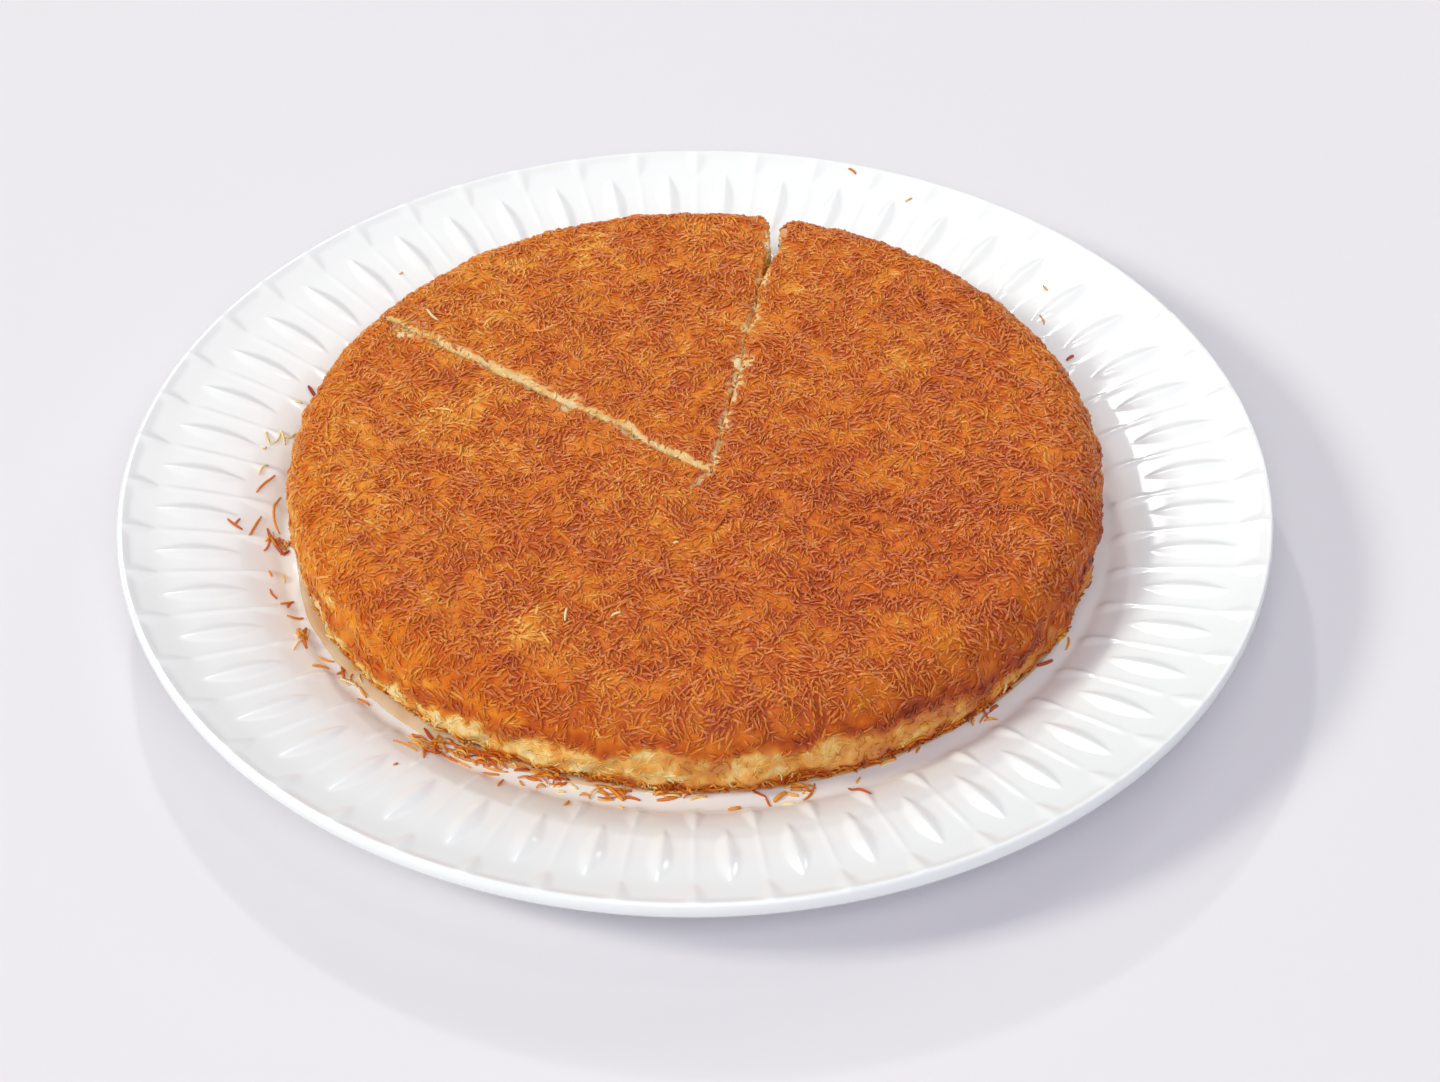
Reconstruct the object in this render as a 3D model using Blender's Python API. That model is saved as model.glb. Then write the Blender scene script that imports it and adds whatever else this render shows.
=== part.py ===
"""A round kunafa on its white embossed plate, with one slice cut free.

Metres, +Z up. The origin is the middle of the foot ring's resting face. The plate's rim carries
three staggered rows of pointed leaves. The kunafa is a low baked disc of chopped pastry shreds with
a rounded shoulder. Two knife cuts meet in front of its middle and part the slice from the rest.
"""
import itertools
import math
import random

import bmesh
import bpy
from mathutils import Vector, noise
from mathutils.bvhtree import BVHTree

MM = 0.001

# Plate, in millimetres from the foot plane
RIM_R = 149.3             # crest of the rim
LIP_R = 150.0             # widest point of the lip
RIM_Z = 23.0
FLOOR_Z = 10.5            # upper face of the well
FLOOR_R = 106.5
LEAVES = 52               # leaves in each row
LEAF_PHASE = math.radians(3.0)
LEAF_HALF = 0.23          # half width of a leaf, in leaf periods
LEAF_RISE = 0.9
INNER_ROW = (0.66, 0.805)     # leaf tips, as fractions of RIM_R
MIDDLE_ROW = (0.800, 0.940)
OUTER_ROW = (0.925, 1.075)
RELIEF_FADE = (0.72, 0.75)    # the leaves sink into the well here
RELIEF_ROWS = (0.735, 0.768, 0.80, 0.835, 0.87, 0.905, 0.932, 0.96, 0.988)
RIM_SECTION = ((106.5, 10.5), (109.0, 11.0), (111.5, 12.4), (115.5, 14.2), (120.1, 15.9),
               (130.0, 18.1), (139.7, 20.0), (145.5, 21.6), (147.6, 22.5), (149.3, 23.0))
LIP_SECTION = ((LIP_R, 22.2), (LIP_R, 19.7), (149.2, 18.5))
UNDERSIDE_WIDE = ((146.5, 17.6), (137.0, 14.4), (120.0, 10.0))
UNDERSIDE_NARROW = ((107.0, 5.9), (97.5, 4.6), (95.2, 0.7), (94.4, 0.0), (90.6, 0.0), (89.8, 0.7),
                    (88.0, 4.2), (60.0, 4.6))
UNDERSIDE_MID_Z = 4.8
LEAF_COLUMNS = 4 * LEAVES
LIP_COLUMNS = 2 * LEAVES

# Kunafa, in millimetres from its own middle and base
CAKE_X, CAKE_Y = 0.1, 1.0
CAKE_BASE_Z = FLOOR_Z + 0.3
CAKE_R = 106.0            # widest, a third of the way up
CAKE_H = 25.4
SHOULDER_R = 11.0
FOOT_IN = 2.2             # the foot pulls in by this much
DOME = 0.5                # the flat top falls this much towards the shoulder
SHOULDER_TURNS = (18, 42, 66, 88)       # degrees round the shoulder, one row of points each
SIDE_ROWS = ((0.2, 9.0, 1.0), (-0.3, 4.2, 1.4), (-FOOT_IN, 0.0, 0.7))   # beyond CAKE_R, up, ragged
BASE_RINGS = ((48, 80.0), (24, 40.0))
TOP_RINGS = 15
SIDE_COLUMNS = 96
TOP_ROUGH = 1.1
SIDE_ROUGH = 1.5

# Cuts, in millimetres and degrees in the plate's plan
MEET = (4.2, -13.0)
BACK_CUT = 79.6
LEFT_CUT = 143.0
CUT_REACH = 150.0
CUT_STEP = 7.0
CUT_LEVELS = (-2.0, 6.0, 13.0, 20.0, 30.0)
CUT_WANDER = (1.6, 0.9)   # slow and quick wander of the knife
CUT_TORN = 0.45
BACK_GAP = (0.55, 1.0)    # half gap near the meeting point, then further out
BACK_GAP_STEP = 25.0
BACK_GAP_FLARE = (2.0, 72.0, 48.0)      # extra at the edge, where it starts, over what length
LEFT_GAP = (1.25, 0.25, 9.0)            # half gap, its swing, its wavelength over two pi
SLICE_SETBACK = 2.6       # the slice's tip starts this far from the meeting point
OVERCUT_END = (-4.0, -23.5)
OVERCUT_WIDTH = 2.4
OVERCUT_DEPTH = 7.0

# Larger shreds that stand out of the crust, in millimetres
SHRED_SEED = 52
TOP_SHREDS = 46
SIDE_SHREDS = 20
SHRED_GAP = 12.5
SHRED_LENGTH = (7.0, 11.0)
SHRED_R = 0.75
SHRED_PROUD = 0.35        # midline above the crust
SHRED_SUNK = 0.9          # tips below it
SHRED_BEND = 1.6
SHRED_SLOPE = 0.35
SIDE_SHRED_Z = (6.5, 10.5, 8.0)
CUT_MARGIN = 8.5
SAME_PLANE = 0.99999      # cosine between faces that lie in one plane

COLOURS = {
    "plate": ((0.86, 0.86, 0.88, 1.0), 0.10),
    "kunafa_rest": ((0.62, 0.21, 0.045, 1.0), 0.50),
    "kunafa_slice": ((0.64, 0.23, 0.05, 1.0), 0.50),
}


def clear_scene():
    for item in list(bpy.data.objects):
        bpy.data.objects.remove(item, do_unlink=True)


def interpolate(section, x):
    """Height of a section given as (radius, height) points."""
    for (x0, y0), (x1, y1) in zip(section, section[1:]):
        if x <= x1:
            return y0 + (y1 - y0) * (x - x0) / (x1 - x0)
    return section[-1][1]


def material(name):
    colour, rough = COLOURS[name]
    mat = bpy.data.materials.new(name)
    mat.use_nodes = True
    shader = mat.node_tree.nodes["Principled BSDF"]
    shader.inputs["Base Color"].default_value = colour
    shader.inputs["Roughness"].default_value = rough
    return mat


def finish(name, bm):
    """Makes a named object of a closed mesh given in millimetres."""
    bmesh.ops.scale(bm, vec=(MM, MM, MM), verts=bm.verts)
    bmesh.ops.recalc_face_normals(bm, faces=bm.faces)
    mesh = bpy.data.meshes.new(name)
    bm.to_mesh(mesh)
    bm.free()
    mesh.materials.append(material(name))
    mesh.shade_smooth()
    mesh.set_sharp_from_angle(angle=math.radians(40))
    item = bpy.data.objects.new(name, mesh)
    bpy.context.scene.collection.objects.link(item)
    return item


# Rings

def ring(bm, count, point, turn=0.0):
    """A closed loop of vertices: point(angle) gives each one."""
    return [bm.verts.new(point(turn + 2 * math.pi * i / count)) for i in range(count)]


def stitch(bm, outer, inner):
    """Closes the band between two rings that start at the same angle, whatever their counts."""
    i, j = 0, 0
    while i < len(outer) or j < len(inner):
        a, b = outer[i % len(outer)], inner[j % len(inner)]
        if j == len(inner) or (i < len(outer) and (i + 1) * len(inner) <= (j + 1) * len(outer)):
            bm.faces.new((a, outer[(i + 1) % len(outer)], b))
            i += 1
        else:
            bm.faces.new((a, inner[(j + 1) % len(inner)], b))
            j += 1


def cap(bm, loop, centre):
    middle = bm.verts.new(centre)
    for i, vert in enumerate(loop):
        bm.faces.new((vert, loop[(i + 1) % len(loop)], middle))


def chain(bm, rings):
    for outer, inner in zip(rings, rings[1:]):
        stitch(bm, outer, inner)


# Plate

def leaf(offset, r, row):
    """Rise of one pointed leaf at an offset in leaf periods from its midrib, 0 to 1."""
    tip, end = row
    along = (r / RIM_R - tip) / (end - tip)
    if not 0.0 < along < 1.0:
        return 0.0
    swell = math.sin(math.pi * along)
    half = LEAF_HALF * swell ** 0.75
    return swell ** 0.5 * max(0.0, 1.0 - (offset / half) ** 2)


def relief(angle, r):
    """Height of the embossing above the plain rim, in millimetres."""
    turn = (angle - LEAF_PHASE) * LEAVES / (2 * math.pi)
    middle = turn - round(turn)
    between = turn - 0.5 - round(turn - 0.5)
    rise = max(leaf(middle, r, MIDDLE_ROW), leaf(between, r, INNER_ROW), leaf(between, r, OUTER_ROW))
    fade = min(1.0, max(0.0, (r / RIM_R - RELIEF_FADE[0]) / (RELIEF_FADE[1] - RELIEF_FADE[0])))
    return LEAF_RISE * rise * fade


def plate_ring(bm, count, r, z):
    return ring(bm, count, lambda a: (r * math.cos(a), r * math.sin(a), z + relief(a, r)), LEAF_PHASE)


def smooth_ring(bm, count, r, z):
    return ring(bm, count, lambda a: (r * math.cos(a), r * math.sin(a), z), LEAF_PHASE)


def make_plate():
    bm = bmesh.new()
    floor = [smooth_ring(bm, count, r, FLOOR_Z) for r, count in ((34.0, 26), (72.0, 52))]
    floor += [smooth_ring(bm, LIP_COLUMNS, r, interpolate(RIM_SECTION, r)) for r in (FLOOR_R, 108.2)]
    rim = [plate_ring(bm, LEAF_COLUMNS, f * RIM_R, interpolate(RIM_SECTION, f * RIM_R))
           for f in RELIEF_ROWS]
    lip = [smooth_ring(bm, LIP_COLUMNS, r, z) for r, z in ((RIM_R, RIM_Z),) + LIP_SECTION + UNDERSIDE_WIDE]
    under = [smooth_ring(bm, LEAVES, r, z) for r, z in UNDERSIDE_NARROW]
    inner = [smooth_ring(bm, LEAVES // 2, 30.0, UNDERSIDE_MID_Z)]
    chain(bm, floor + rim + lip + under + inner)
    cap(bm, floor[0], (0, 0, FLOOR_Z))
    cap(bm, inner[0], (0, 0, UNDERSIDE_MID_Z))
    return finish("plate", bm)


# Kunafa disc

def rough(x, y, z, scale, seed):
    return noise.noise(Vector((x / scale, y / scale, z / scale + 7.3 * seed)))


def top_point(x, y):
    """A point of the crust's upper face, domed a little and roughened."""
    r = math.hypot(x, y)
    dome = -DOME * (r / CAKE_R) ** 4
    bumps = TOP_ROUGH * (rough(x, y, 0, 9.0, 1) + 0.8 * rough(x, y, 0, 4.3, 2))
    return x + CAKE_X, y + CAKE_Y, CAKE_BASE_Z + CAKE_H + dome + bumps


def side_point(angle, r, z, ragged):
    x, y = r * math.cos(angle), r * math.sin(angle)
    push = SIDE_ROUGH * ragged * (rough(x, y, z, 8.0, 3) + 0.9 * rough(x, y, z, 3.7, 4))
    wide = (r + push) / r
    return x * wide + CAKE_X, y * wide + CAKE_Y, CAKE_BASE_Z + z


def cake_section():
    """(radius, height, raggedness) from the end of the flat top down to the foot."""
    flat = CAKE_R - SHOULDER_R
    rows = []
    for turn in SHOULDER_TURNS:
        a = math.radians(turn)
        rows.append((flat + SHOULDER_R * math.sin(a), CAKE_H - DOME - SHOULDER_R * (1 - math.cos(a)), 0.7))
    return rows + [(CAKE_R + beyond, z, ragged) for beyond, z, ragged in SIDE_ROWS]


def make_disc():
    bm = bmesh.new()
    step = (CAKE_R - SHOULDER_R - 1.0) / TOP_RINGS
    rings = []
    for k in range(1, TOP_RINGS + 1):
        rings.append(ring(bm, 6 * k, lambda a, r=k * step: top_point(r * math.cos(a), r * math.sin(a))))
    for r, z, ragged in cake_section():
        rings.append(ring(bm, SIDE_COLUMNS, lambda a, r=r, z=z, g=ragged: side_point(a, r, z, g)))
    for count, r in BASE_RINGS:
        rings.append(ring(bm, count, lambda a, r=r: side_point(a, r, 0.0, 0.0)))
    chain(bm, rings)
    cap(bm, rings[0], top_point(0.0, 0.0))
    cap(bm, rings[-1], (CAKE_X, CAKE_Y, CAKE_BASE_Z))
    bmesh.ops.recalc_face_normals(bm, faces=bm.faces)
    return bm


# Cuts

def half_gap(cut, along):
    """Half of the width a cut stands open, from where the cuts meet to the edge."""
    if cut == BACK_CUT:
        extra, start, length = BACK_GAP_FLARE
        return BACK_GAP[along > BACK_GAP_STEP] + extra * max(0.0, (along - start) / length) ** 1.4
    gap, swing, wave = LEFT_GAP
    return gap + swing * math.sin(along / wave)


def cut_point(cut, side, along, level):
    """Plan point on one face of a cut; side is +1 or -1 across it."""
    a = math.radians(cut)
    wander = CUT_WANDER[0] * rough(along, 0, 0, 21.0, cut) + CUT_WANDER[1] * rough(along, 0, 0, 8.0, cut + 1)
    torn = CUT_TORN * rough(along, level, 10 * side, 5.0, cut + 2)
    across = wander * min(1.0, along / 15) + side * (half_gap(cut, along) + abs(torn))
    return (MEET[0] + along * math.cos(a) - across * math.sin(a),
            MEET[1] + along * math.sin(a) + across * math.cos(a))


def prism(loops, levels):
    """A closed solid from one plan outline a level."""
    bm = bmesh.new()
    rows = [[bm.verts.new((x, y, z)) for x, y in loop] for loop, z in zip(loops, levels)]
    for low, high in zip(rows, rows[1:]):
        for i in range(len(low)):
            j = (i + 1) % len(low)
            bm.faces.new((low[i], low[j], high[j], high[i]))
    bm.faces.new(rows[-1])
    bm.faces.new(rows[0][::-1])
    bmesh.ops.triangulate(bm, faces=bm.faces)
    bmesh.ops.recalc_face_normals(bm, faces=bm.faces)
    return bm


def sector(out_side, start):
    """The slice's plan at each level: out_side +1 gives the opening, -1 the slice itself."""
    steps = range(int(CUT_REACH / CUT_STEP))
    loops = []
    for level in CUT_LEVELS:
        back = [cut_point(BACK_CUT, -out_side, start + CUT_STEP * i, level) for i in steps]
        left = [cut_point(LEFT_CUT, out_side, start + CUT_STEP * i, level) for i in steps]
        far = [BACK_CUT + (LEFT_CUT - BACK_CUT) * i / 5 for i in range(1, 5)]
        arc = [(MEET[0] + CUT_REACH * math.cos(math.radians(a)),
                MEET[1] + CUT_REACH * math.sin(math.radians(a))) for a in far]
        loops.append(back + arc + left[::-1])
    return prism(loops, [CAKE_BASE_Z + z for z in CUT_LEVELS])


def overcut():
    """The short slot where the knife ran past the point where the cuts meet."""
    run = Vector(OVERCUT_END) - Vector(MEET)
    across = Vector((-run.y, run.x)).normalized() * OVERCUT_WIDTH / 2
    start = Vector(MEET) - run * 0.12
    top = [start - across, start + run * 0.55 - across * 0.7, Vector(OVERCUT_END),
           start + run * 0.6 + across * 0.5, start + across]
    low = [point.lerp(start, 0.35) for point in top]
    loops = [[(p.x, p.y) for p in loop] for loop in (low, top)]
    return prism(loops, [CAKE_BASE_Z + CAKE_H - OVERCUT_DEPTH, CAKE_BASE_Z + CAKE_H + 3])


def scratch_object(bm, name):
    mesh = bpy.data.meshes.new(name)
    bm.to_mesh(mesh)
    bm.free()
    item = bpy.data.objects.new(name, mesh)
    bpy.context.scene.collection.objects.link(item)
    return item


def apply_modifiers(item):
    graph = bpy.context.evaluated_depsgraph_get()
    mesh = bpy.data.meshes.new_from_object(item.evaluated_get(graph))
    item.modifiers.clear()
    item.data = mesh


def cut_with(item, tool, operation):
    mod = item.modifiers.new(operation, "BOOLEAN")
    mod.operation = operation
    mod.solver = "EXACT"
    mod.object = tool
    apply_modifiers(item)
    bpy.data.objects.remove(tool, do_unlink=True)


# Shreds

def shred(bm, path, radius, up):
    """A closed three-sided strand along a path, pointed at both ends."""
    loops = []
    for i in range(1, len(path) - 1):
        along = (path[i + 1] - path[i - 1]).normalized()
        side = along.cross(up).normalized()
        lift = side.cross(along)
        loops.append([bm.verts.new(path[i] + radius * (math.cos(a) * side + math.sin(a) * lift))
                      for a in (math.radians(90), math.radians(210), math.radians(330))])
    for low, high in zip(loops, loops[1:]):
        for j in range(3):
            k = (j + 1) % 3
            bm.faces.new((low[j], low[k], high[k], high[j]))
    for loop, tip in ((loops[0], path[0]), (loops[-1], path[-1])):
        end = bm.verts.new(tip)
        for j in range(3):
            bm.faces.new((loop[j], loop[(j + 1) % 3], end))


def shred_path(tree, middle, normal, heading, length, bend):
    """Points of a bent strand laid on the crust, with its ends sunk in."""
    side = heading.cross(normal).normalized()
    path = []
    for t in (-1.0, -0.6, 0.0, 0.6, 1.0):
        flat = middle + heading * (0.5 * length * t) + side * bend * (1 - t * t)
        hit = tree.find_nearest(flat)
        if hit[0] is None:
            return None
        path.append(hit[0] + normal * (SHRED_PROUD if abs(t) < 1 else -SHRED_SUNK))
    return path


def cut_distance(x, y):
    """Distance in plan from the nearest cut line."""
    best = math.hypot(x - MEET[0], y - MEET[1])
    for cut in (BACK_CUT, LEFT_CUT):
        a = math.radians(cut)
        along = (x - MEET[0]) * math.cos(a) + (y - MEET[1]) * math.sin(a)
        across = abs((y - MEET[1]) * math.cos(a) - (x - MEET[0]) * math.sin(a))
        if along > 0:
            best = min(best, across)
    return best


def in_slice(x, y):
    bearing = math.degrees(math.atan2(y - MEET[1], x - MEET[0]))
    return BACK_CUT < bearing < LEFT_CUT


def shred_places(rng):
    """(plan x, plan y, height or None) spread evenly over the top and the side."""
    kept = []
    tries = 0
    while len(kept) < TOP_SHREDS and tries < 6000:
        tries += 1
        r = (CAKE_R - 9.0) * math.sqrt(rng.random())
        a = rng.uniform(0, 2 * math.pi)
        x, y = CAKE_X + r * math.cos(a), CAKE_Y + r * math.sin(a)
        near = min((math.hypot(x - k[0], y - k[1]) for k in kept), default=99.0)
        if near > SHRED_GAP and cut_distance(x, y) > CUT_MARGIN:
            kept.append((x, y, None))
    for i in range(SIDE_SHREDS):
        a = 2 * math.pi * (i + rng.uniform(0.3, 0.7)) / SIDE_SHREDS
        x, y = CAKE_X + CAKE_R * math.cos(a), CAKE_Y + CAKE_R * math.sin(a)
        if cut_distance(x, y) > CUT_MARGIN:
            kept.append((x, y, CAKE_BASE_Z + SIDE_SHRED_Z[i % len(SIDE_SHRED_Z)]))
    return kept


def fuse_shreds(item, wanted, places, rng):
    """Joins the larger shreds that lie on this piece to it with one union."""
    mesh = item.data
    tree = BVHTree.FromPolygons([v.co.copy() for v in mesh.vertices], [p.vertices[:] for p in mesh.polygons])
    group = bpy.data.collections.new("shreds")
    for x, y, z in places:
        length, bend = rng.uniform(*SHRED_LENGTH), rng.uniform(-SHRED_BEND, SHRED_BEND)
        turn, slope = rng.uniform(0, math.pi), rng.uniform(-SHRED_SLOPE, SHRED_SLOPE)
        if in_slice(x, y) != wanted:
            continue
        if z is None:
            middle, normal = Vector((x, y, CAKE_BASE_Z + CAKE_H)), Vector((0, 0, 1))
            heading = Vector((math.cos(turn), math.sin(turn), 0))
        else:
            normal = Vector((x - CAKE_X, y - CAKE_Y, 0)).normalized()
            middle = Vector((x, y, z))
            heading = (normal.cross(Vector((0, 0, 1))) + Vector((0, 0, slope))).normalized()
        path = shred_path(tree, middle, normal, heading, length, bend)
        if path is None:
            continue
        bm = bmesh.new()
        shred(bm, path, SHRED_R, normal)
        bmesh.ops.recalc_face_normals(bm, faces=bm.faces)
        mesh = bpy.data.meshes.new("shred")
        bm.to_mesh(mesh)
        bm.free()
        group.objects.link(bpy.data.objects.new("shred", mesh))
    bpy.context.scene.collection.children.link(group)
    mod = item.modifiers.new("shreds", "BOOLEAN")
    mod.operation = "UNION"
    mod.solver = "EXACT"
    mod.operand_type = "COLLECTION"
    mod.collection = group
    apply_modifiers(item)
    for extra in list(group.objects):
        bpy.data.objects.remove(extra, do_unlink=True)
    bpy.data.collections.remove(group)


def largest_body(bm):
    """Keeps the biggest body of faces joined edge to edge, dropping loose scraps."""
    left, bodies = set(bm.faces), []
    while left:
        front = [left.pop()]
        body = set(front)
        while front:
            for edge in front.pop().edges:
                for face in edge.link_faces:
                    if face in left:
                        left.discard(face)
                        body.add(face)
                        front.append(face)
        bodies.append(body)
    keep = max(bodies, key=len)
    bmesh.ops.delete(bm, geom=[f for f in bm.faces if f not in keep], context="FACES")


def flip_shared_diagonals(bm):
    """Turns each diagonal that fell on another face's edge, so that every edge joins two faces."""
    for edge in [e for e in bm.edges if len(e.link_faces) > 2]:
        a, c = edge.verts
        for f, g in itertools.combinations(edge.link_faces, 2):
            b = next(v for v in f.verts if v not in edge.verts)
            d = next(v for v in g.verts if v not in edge.verts)
            if f.normal.dot(g.normal) < SAME_PLANE or bm.edges.get((b, d)):
                continue
            first, second = (a, b, d), (b, c, d)
            turns = [(v.co - u.co).cross(w.co - u.co).dot(f.normal) for u, v, w in (first, second)]
            if turns[0] * turns[1] <= 0:
                continue
            if turns[0] < 0:
                first, second = first[::-1], second[::-1]
            bmesh.ops.delete(bm, geom=[f, g], context="FACES_ONLY")
            bm.faces.new(first)
            bm.faces.new(second)
            break


def make_food():
    places = shred_places(random.Random(SHRED_SEED))
    rest = scratch_object(make_disc(), "rest")
    cut_with(rest, scratch_object(sector(1, 0.0), "opening"), "DIFFERENCE")
    cut_with(rest, scratch_object(overcut(), "slot"), "DIFFERENCE")
    piece = scratch_object(make_disc(), "piece")
    cut_with(piece, scratch_object(sector(-1, SLICE_SETBACK), "slice"), "INTERSECT")
    for item, name, wanted, seed in ((rest, "kunafa_rest", False, 1), (piece, "kunafa_slice", True, 2)):
        fuse_shreds(item, wanted, places, random.Random(SHRED_SEED + seed))
        bm = bmesh.new()
        bm.from_mesh(item.data)
        bpy.data.objects.remove(item, do_unlink=True)
        largest_body(bm)
        bmesh.ops.triangulate(bm, faces=bm.faces, ngon_method="BEAUTY")
        bm.normal_update()
        flip_shared_diagonals(bm)
        finish(name, bm)


clear_scene()
make_plate()
make_food()
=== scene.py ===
"""Looks of a round kunafa on its white embossed plate, with one slice cut free.

Sizes are in millimetres until a mesh is made, and in metres after that. The plate's rim is one leaf
period, repeated round its axis. The pastry is two closed bodies, the rest and the slice. Chopped shreds,
crumb and frayed edges lie on them as strands, which one Geometry Nodes tree lays on any surface.
"""
import math
import random

import bmesh
import bpy
from mathutils import Matrix, Vector, noise


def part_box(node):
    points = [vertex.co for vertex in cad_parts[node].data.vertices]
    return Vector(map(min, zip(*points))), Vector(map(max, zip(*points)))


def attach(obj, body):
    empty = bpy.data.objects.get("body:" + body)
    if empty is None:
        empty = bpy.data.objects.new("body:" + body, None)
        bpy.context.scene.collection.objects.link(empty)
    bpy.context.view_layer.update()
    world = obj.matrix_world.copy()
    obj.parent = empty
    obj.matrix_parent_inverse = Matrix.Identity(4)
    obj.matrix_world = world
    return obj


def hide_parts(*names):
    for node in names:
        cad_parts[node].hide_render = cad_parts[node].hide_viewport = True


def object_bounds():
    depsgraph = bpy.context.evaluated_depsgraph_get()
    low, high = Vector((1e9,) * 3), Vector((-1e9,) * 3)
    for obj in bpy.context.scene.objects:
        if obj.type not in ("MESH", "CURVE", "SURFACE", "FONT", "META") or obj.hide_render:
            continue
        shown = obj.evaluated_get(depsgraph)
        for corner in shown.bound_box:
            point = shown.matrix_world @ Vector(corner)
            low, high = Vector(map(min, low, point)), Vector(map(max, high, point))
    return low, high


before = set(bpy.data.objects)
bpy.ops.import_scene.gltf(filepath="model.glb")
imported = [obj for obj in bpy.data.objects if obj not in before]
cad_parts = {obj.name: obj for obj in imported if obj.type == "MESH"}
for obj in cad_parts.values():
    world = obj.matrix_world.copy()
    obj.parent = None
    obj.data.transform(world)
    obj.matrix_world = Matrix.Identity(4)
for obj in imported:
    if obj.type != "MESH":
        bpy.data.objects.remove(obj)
cad_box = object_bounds()

MM = 0.001
TURN = 2 * math.pi
PLATE_LOW, PLATE_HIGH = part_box("plate")
REST_LOW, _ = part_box("kunafa_rest")

# Plate, in millimetres from the foot plane
LIP_R = (PLATE_HIGH.x - PLATE_LOW.x) / 2 / MM
RIM_R = LIP_R - 0.7
RIM_Z = 23.0
LIP_WALL = 0.5                # the lip stands this much above the plain rim
LIP_WALL_SPAN = (0.982, 0.996)    # where the lip starts and is full, as fractions of RIM_R
FLOOR_Z = 10.5
WELL_R = 104.0                # the well is flat up to here
LEAVES = 52
LEAF_PHASE = math.radians(3.0)
LEAF_HALF = 0.225             # half width of a leaf, in leaf periods
LEAF_RISE = 0.90
LEAF_RIDGE = 1.5              # 1 is a roof, 2 is a round back
INNER_ROW = (0.66, 0.805)     # leaf tips, as fractions of RIM_R
MIDDLE_ROW = (0.800, 0.940)
OUTER_ROW = (0.942, 1.062)
SEAM_ROW = (0.80, 0.935)      # the thin ridge between neighbouring leaves
SEAM_RISE = 0.20
SEAM_HALF = 0.05
RELIEF_FADE = (0.72, 0.75)    # the leaves sink into the well here

# Section of the plate as (radius, height): over the rim, round the lip, under the rim and the foot ring
RIM_LINE = ((100.0, 10.5), (106.5, 10.5), (109.0, 11.0), (111.5, 12.4), (115.5, 14.2), (120.1, 15.9),
            (130.0, 18.1), (139.7, 20.0), (RIM_R, RIM_Z - LIP_WALL), (153.0, 22.9))
LIP_LINE = ((149.7, 22.75), (149.95, 22.2), (149.99, 21.0), (149.95, 19.8), (149.65, 18.95))
EDGE_LINE = ((149.1, 18.45), (148.0, 18.05), (146.5, 17.6), (142.0, 16.1), (137.0, 14.4), (128.5, 12.1),
             (120.0, 10.0))
FOOT_LINE = ((113.0, 7.8), (107.0, 5.9), (102.0, 5.1), (97.5, 4.6), (95.9, 3.4), (95.2, 0.7), (94.4, 0.0),
             (90.6, 0.0), (89.8, 0.7), (89.2, 3.2), (88.0, 4.2), (60.0, 4.6), (30.0, 4.8))
RIM_ROWS = 50
RIM_COLUMNS, EDGE_COLUMNS, FOOT_COLUMNS = 28, 14, 7     # points across one leaf period

# Pastry, in millimetres from its own middle and base
CAKE_X, CAKE_Y = 0.1, 1.0
BASE_Z = REST_LOW.z / MM
CEILING = cad_box[1].z / MM - 0.05
CAKE_R = 105.4
CAKE_H = 25.4
SHOULDER_R = 11.0
DOME = 0.5                    # the flat top falls this much towards its edge
FLAT_R = CAKE_R - SHOULDER_R
TOP_ROUGH = 0.6               # bumps of the top
TOP_GRAIN = 0.22              # its finer grain
SIDE_ROUGH = 1.1              # lumps of the side
PATTERN_R = 106.0             # the side's patterns are read on this circle
FOOT_R = 102.8                # loose shreds on the plate lie outside this
UNDERCUT = 1.0                # how much further in the foot goes at the front left
GRID = 0.74                   # spacing of the bodies' points
WALL_ROWS = 28
WALL_SPREAD = 1.25            # above 1 the rows of a cut face crowd towards its top
TOP_ROOM = 0.6                # left free under the ceiling for the strands on the top
STRAND_TOP = 0.3              # upper face of the crust's strands above the crust
STRAND_ROOM = 0.45            # left free above the middle of a strand
WANDER_FADE = 0.42            # bearing over which a cut's wander dies out in the top, in radians

# The side below the shoulder as (radius, height, raggedness)
SIDE_LINE = ((CAKE_R, 13.9, 0.7), (CAKE_R + 0.2, 9.0, 1.0), (CAKE_R - 0.3, 4.2, 1.4),
             (CAKE_R - 2.2, 0.0, 0.7))

# Cuts, in millimetres and degrees in the plate's plan
MEET = (4.2, -13.0)
BACK_CUT = 79.6
LEFT_CUT = 143.0
CUT_REACH = 140.0             # longer than either cut
CUT_WANDER = (1.6, 1.3)       # slow and quick wander of the knife
CUT_TORN = 0.45               # unevenness of the cut faces
CUT_CRUMB = 0.55              # and of the crumb on them
BACK_GAP = 0.55               # half gap of the back cut
BACK_CORNER = 4.4             # how far each corner at the back cut is worn back at the rim
BACK_FLOOR, BACK_FALL = 25.2, 12.0      # top of the crumb in the back cut, and how far it falls outwards
LEFT_GAP = (1.25, 0.25, 9.0)  # half gap of the left cut, its swing, its wavelength over two pi
LEFT_FLOOR = (24.9, 22.9)     # crumb closes the left cut between these heights
SLICE_SETBACK = 1.5           # the slice's tip starts this far from the meeting point
OVERCUT_END = (-4.0, -23.5)
OVERCUT_HALF = 1.2            # half width
OVERCUT_DEPTH = 0.8

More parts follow.
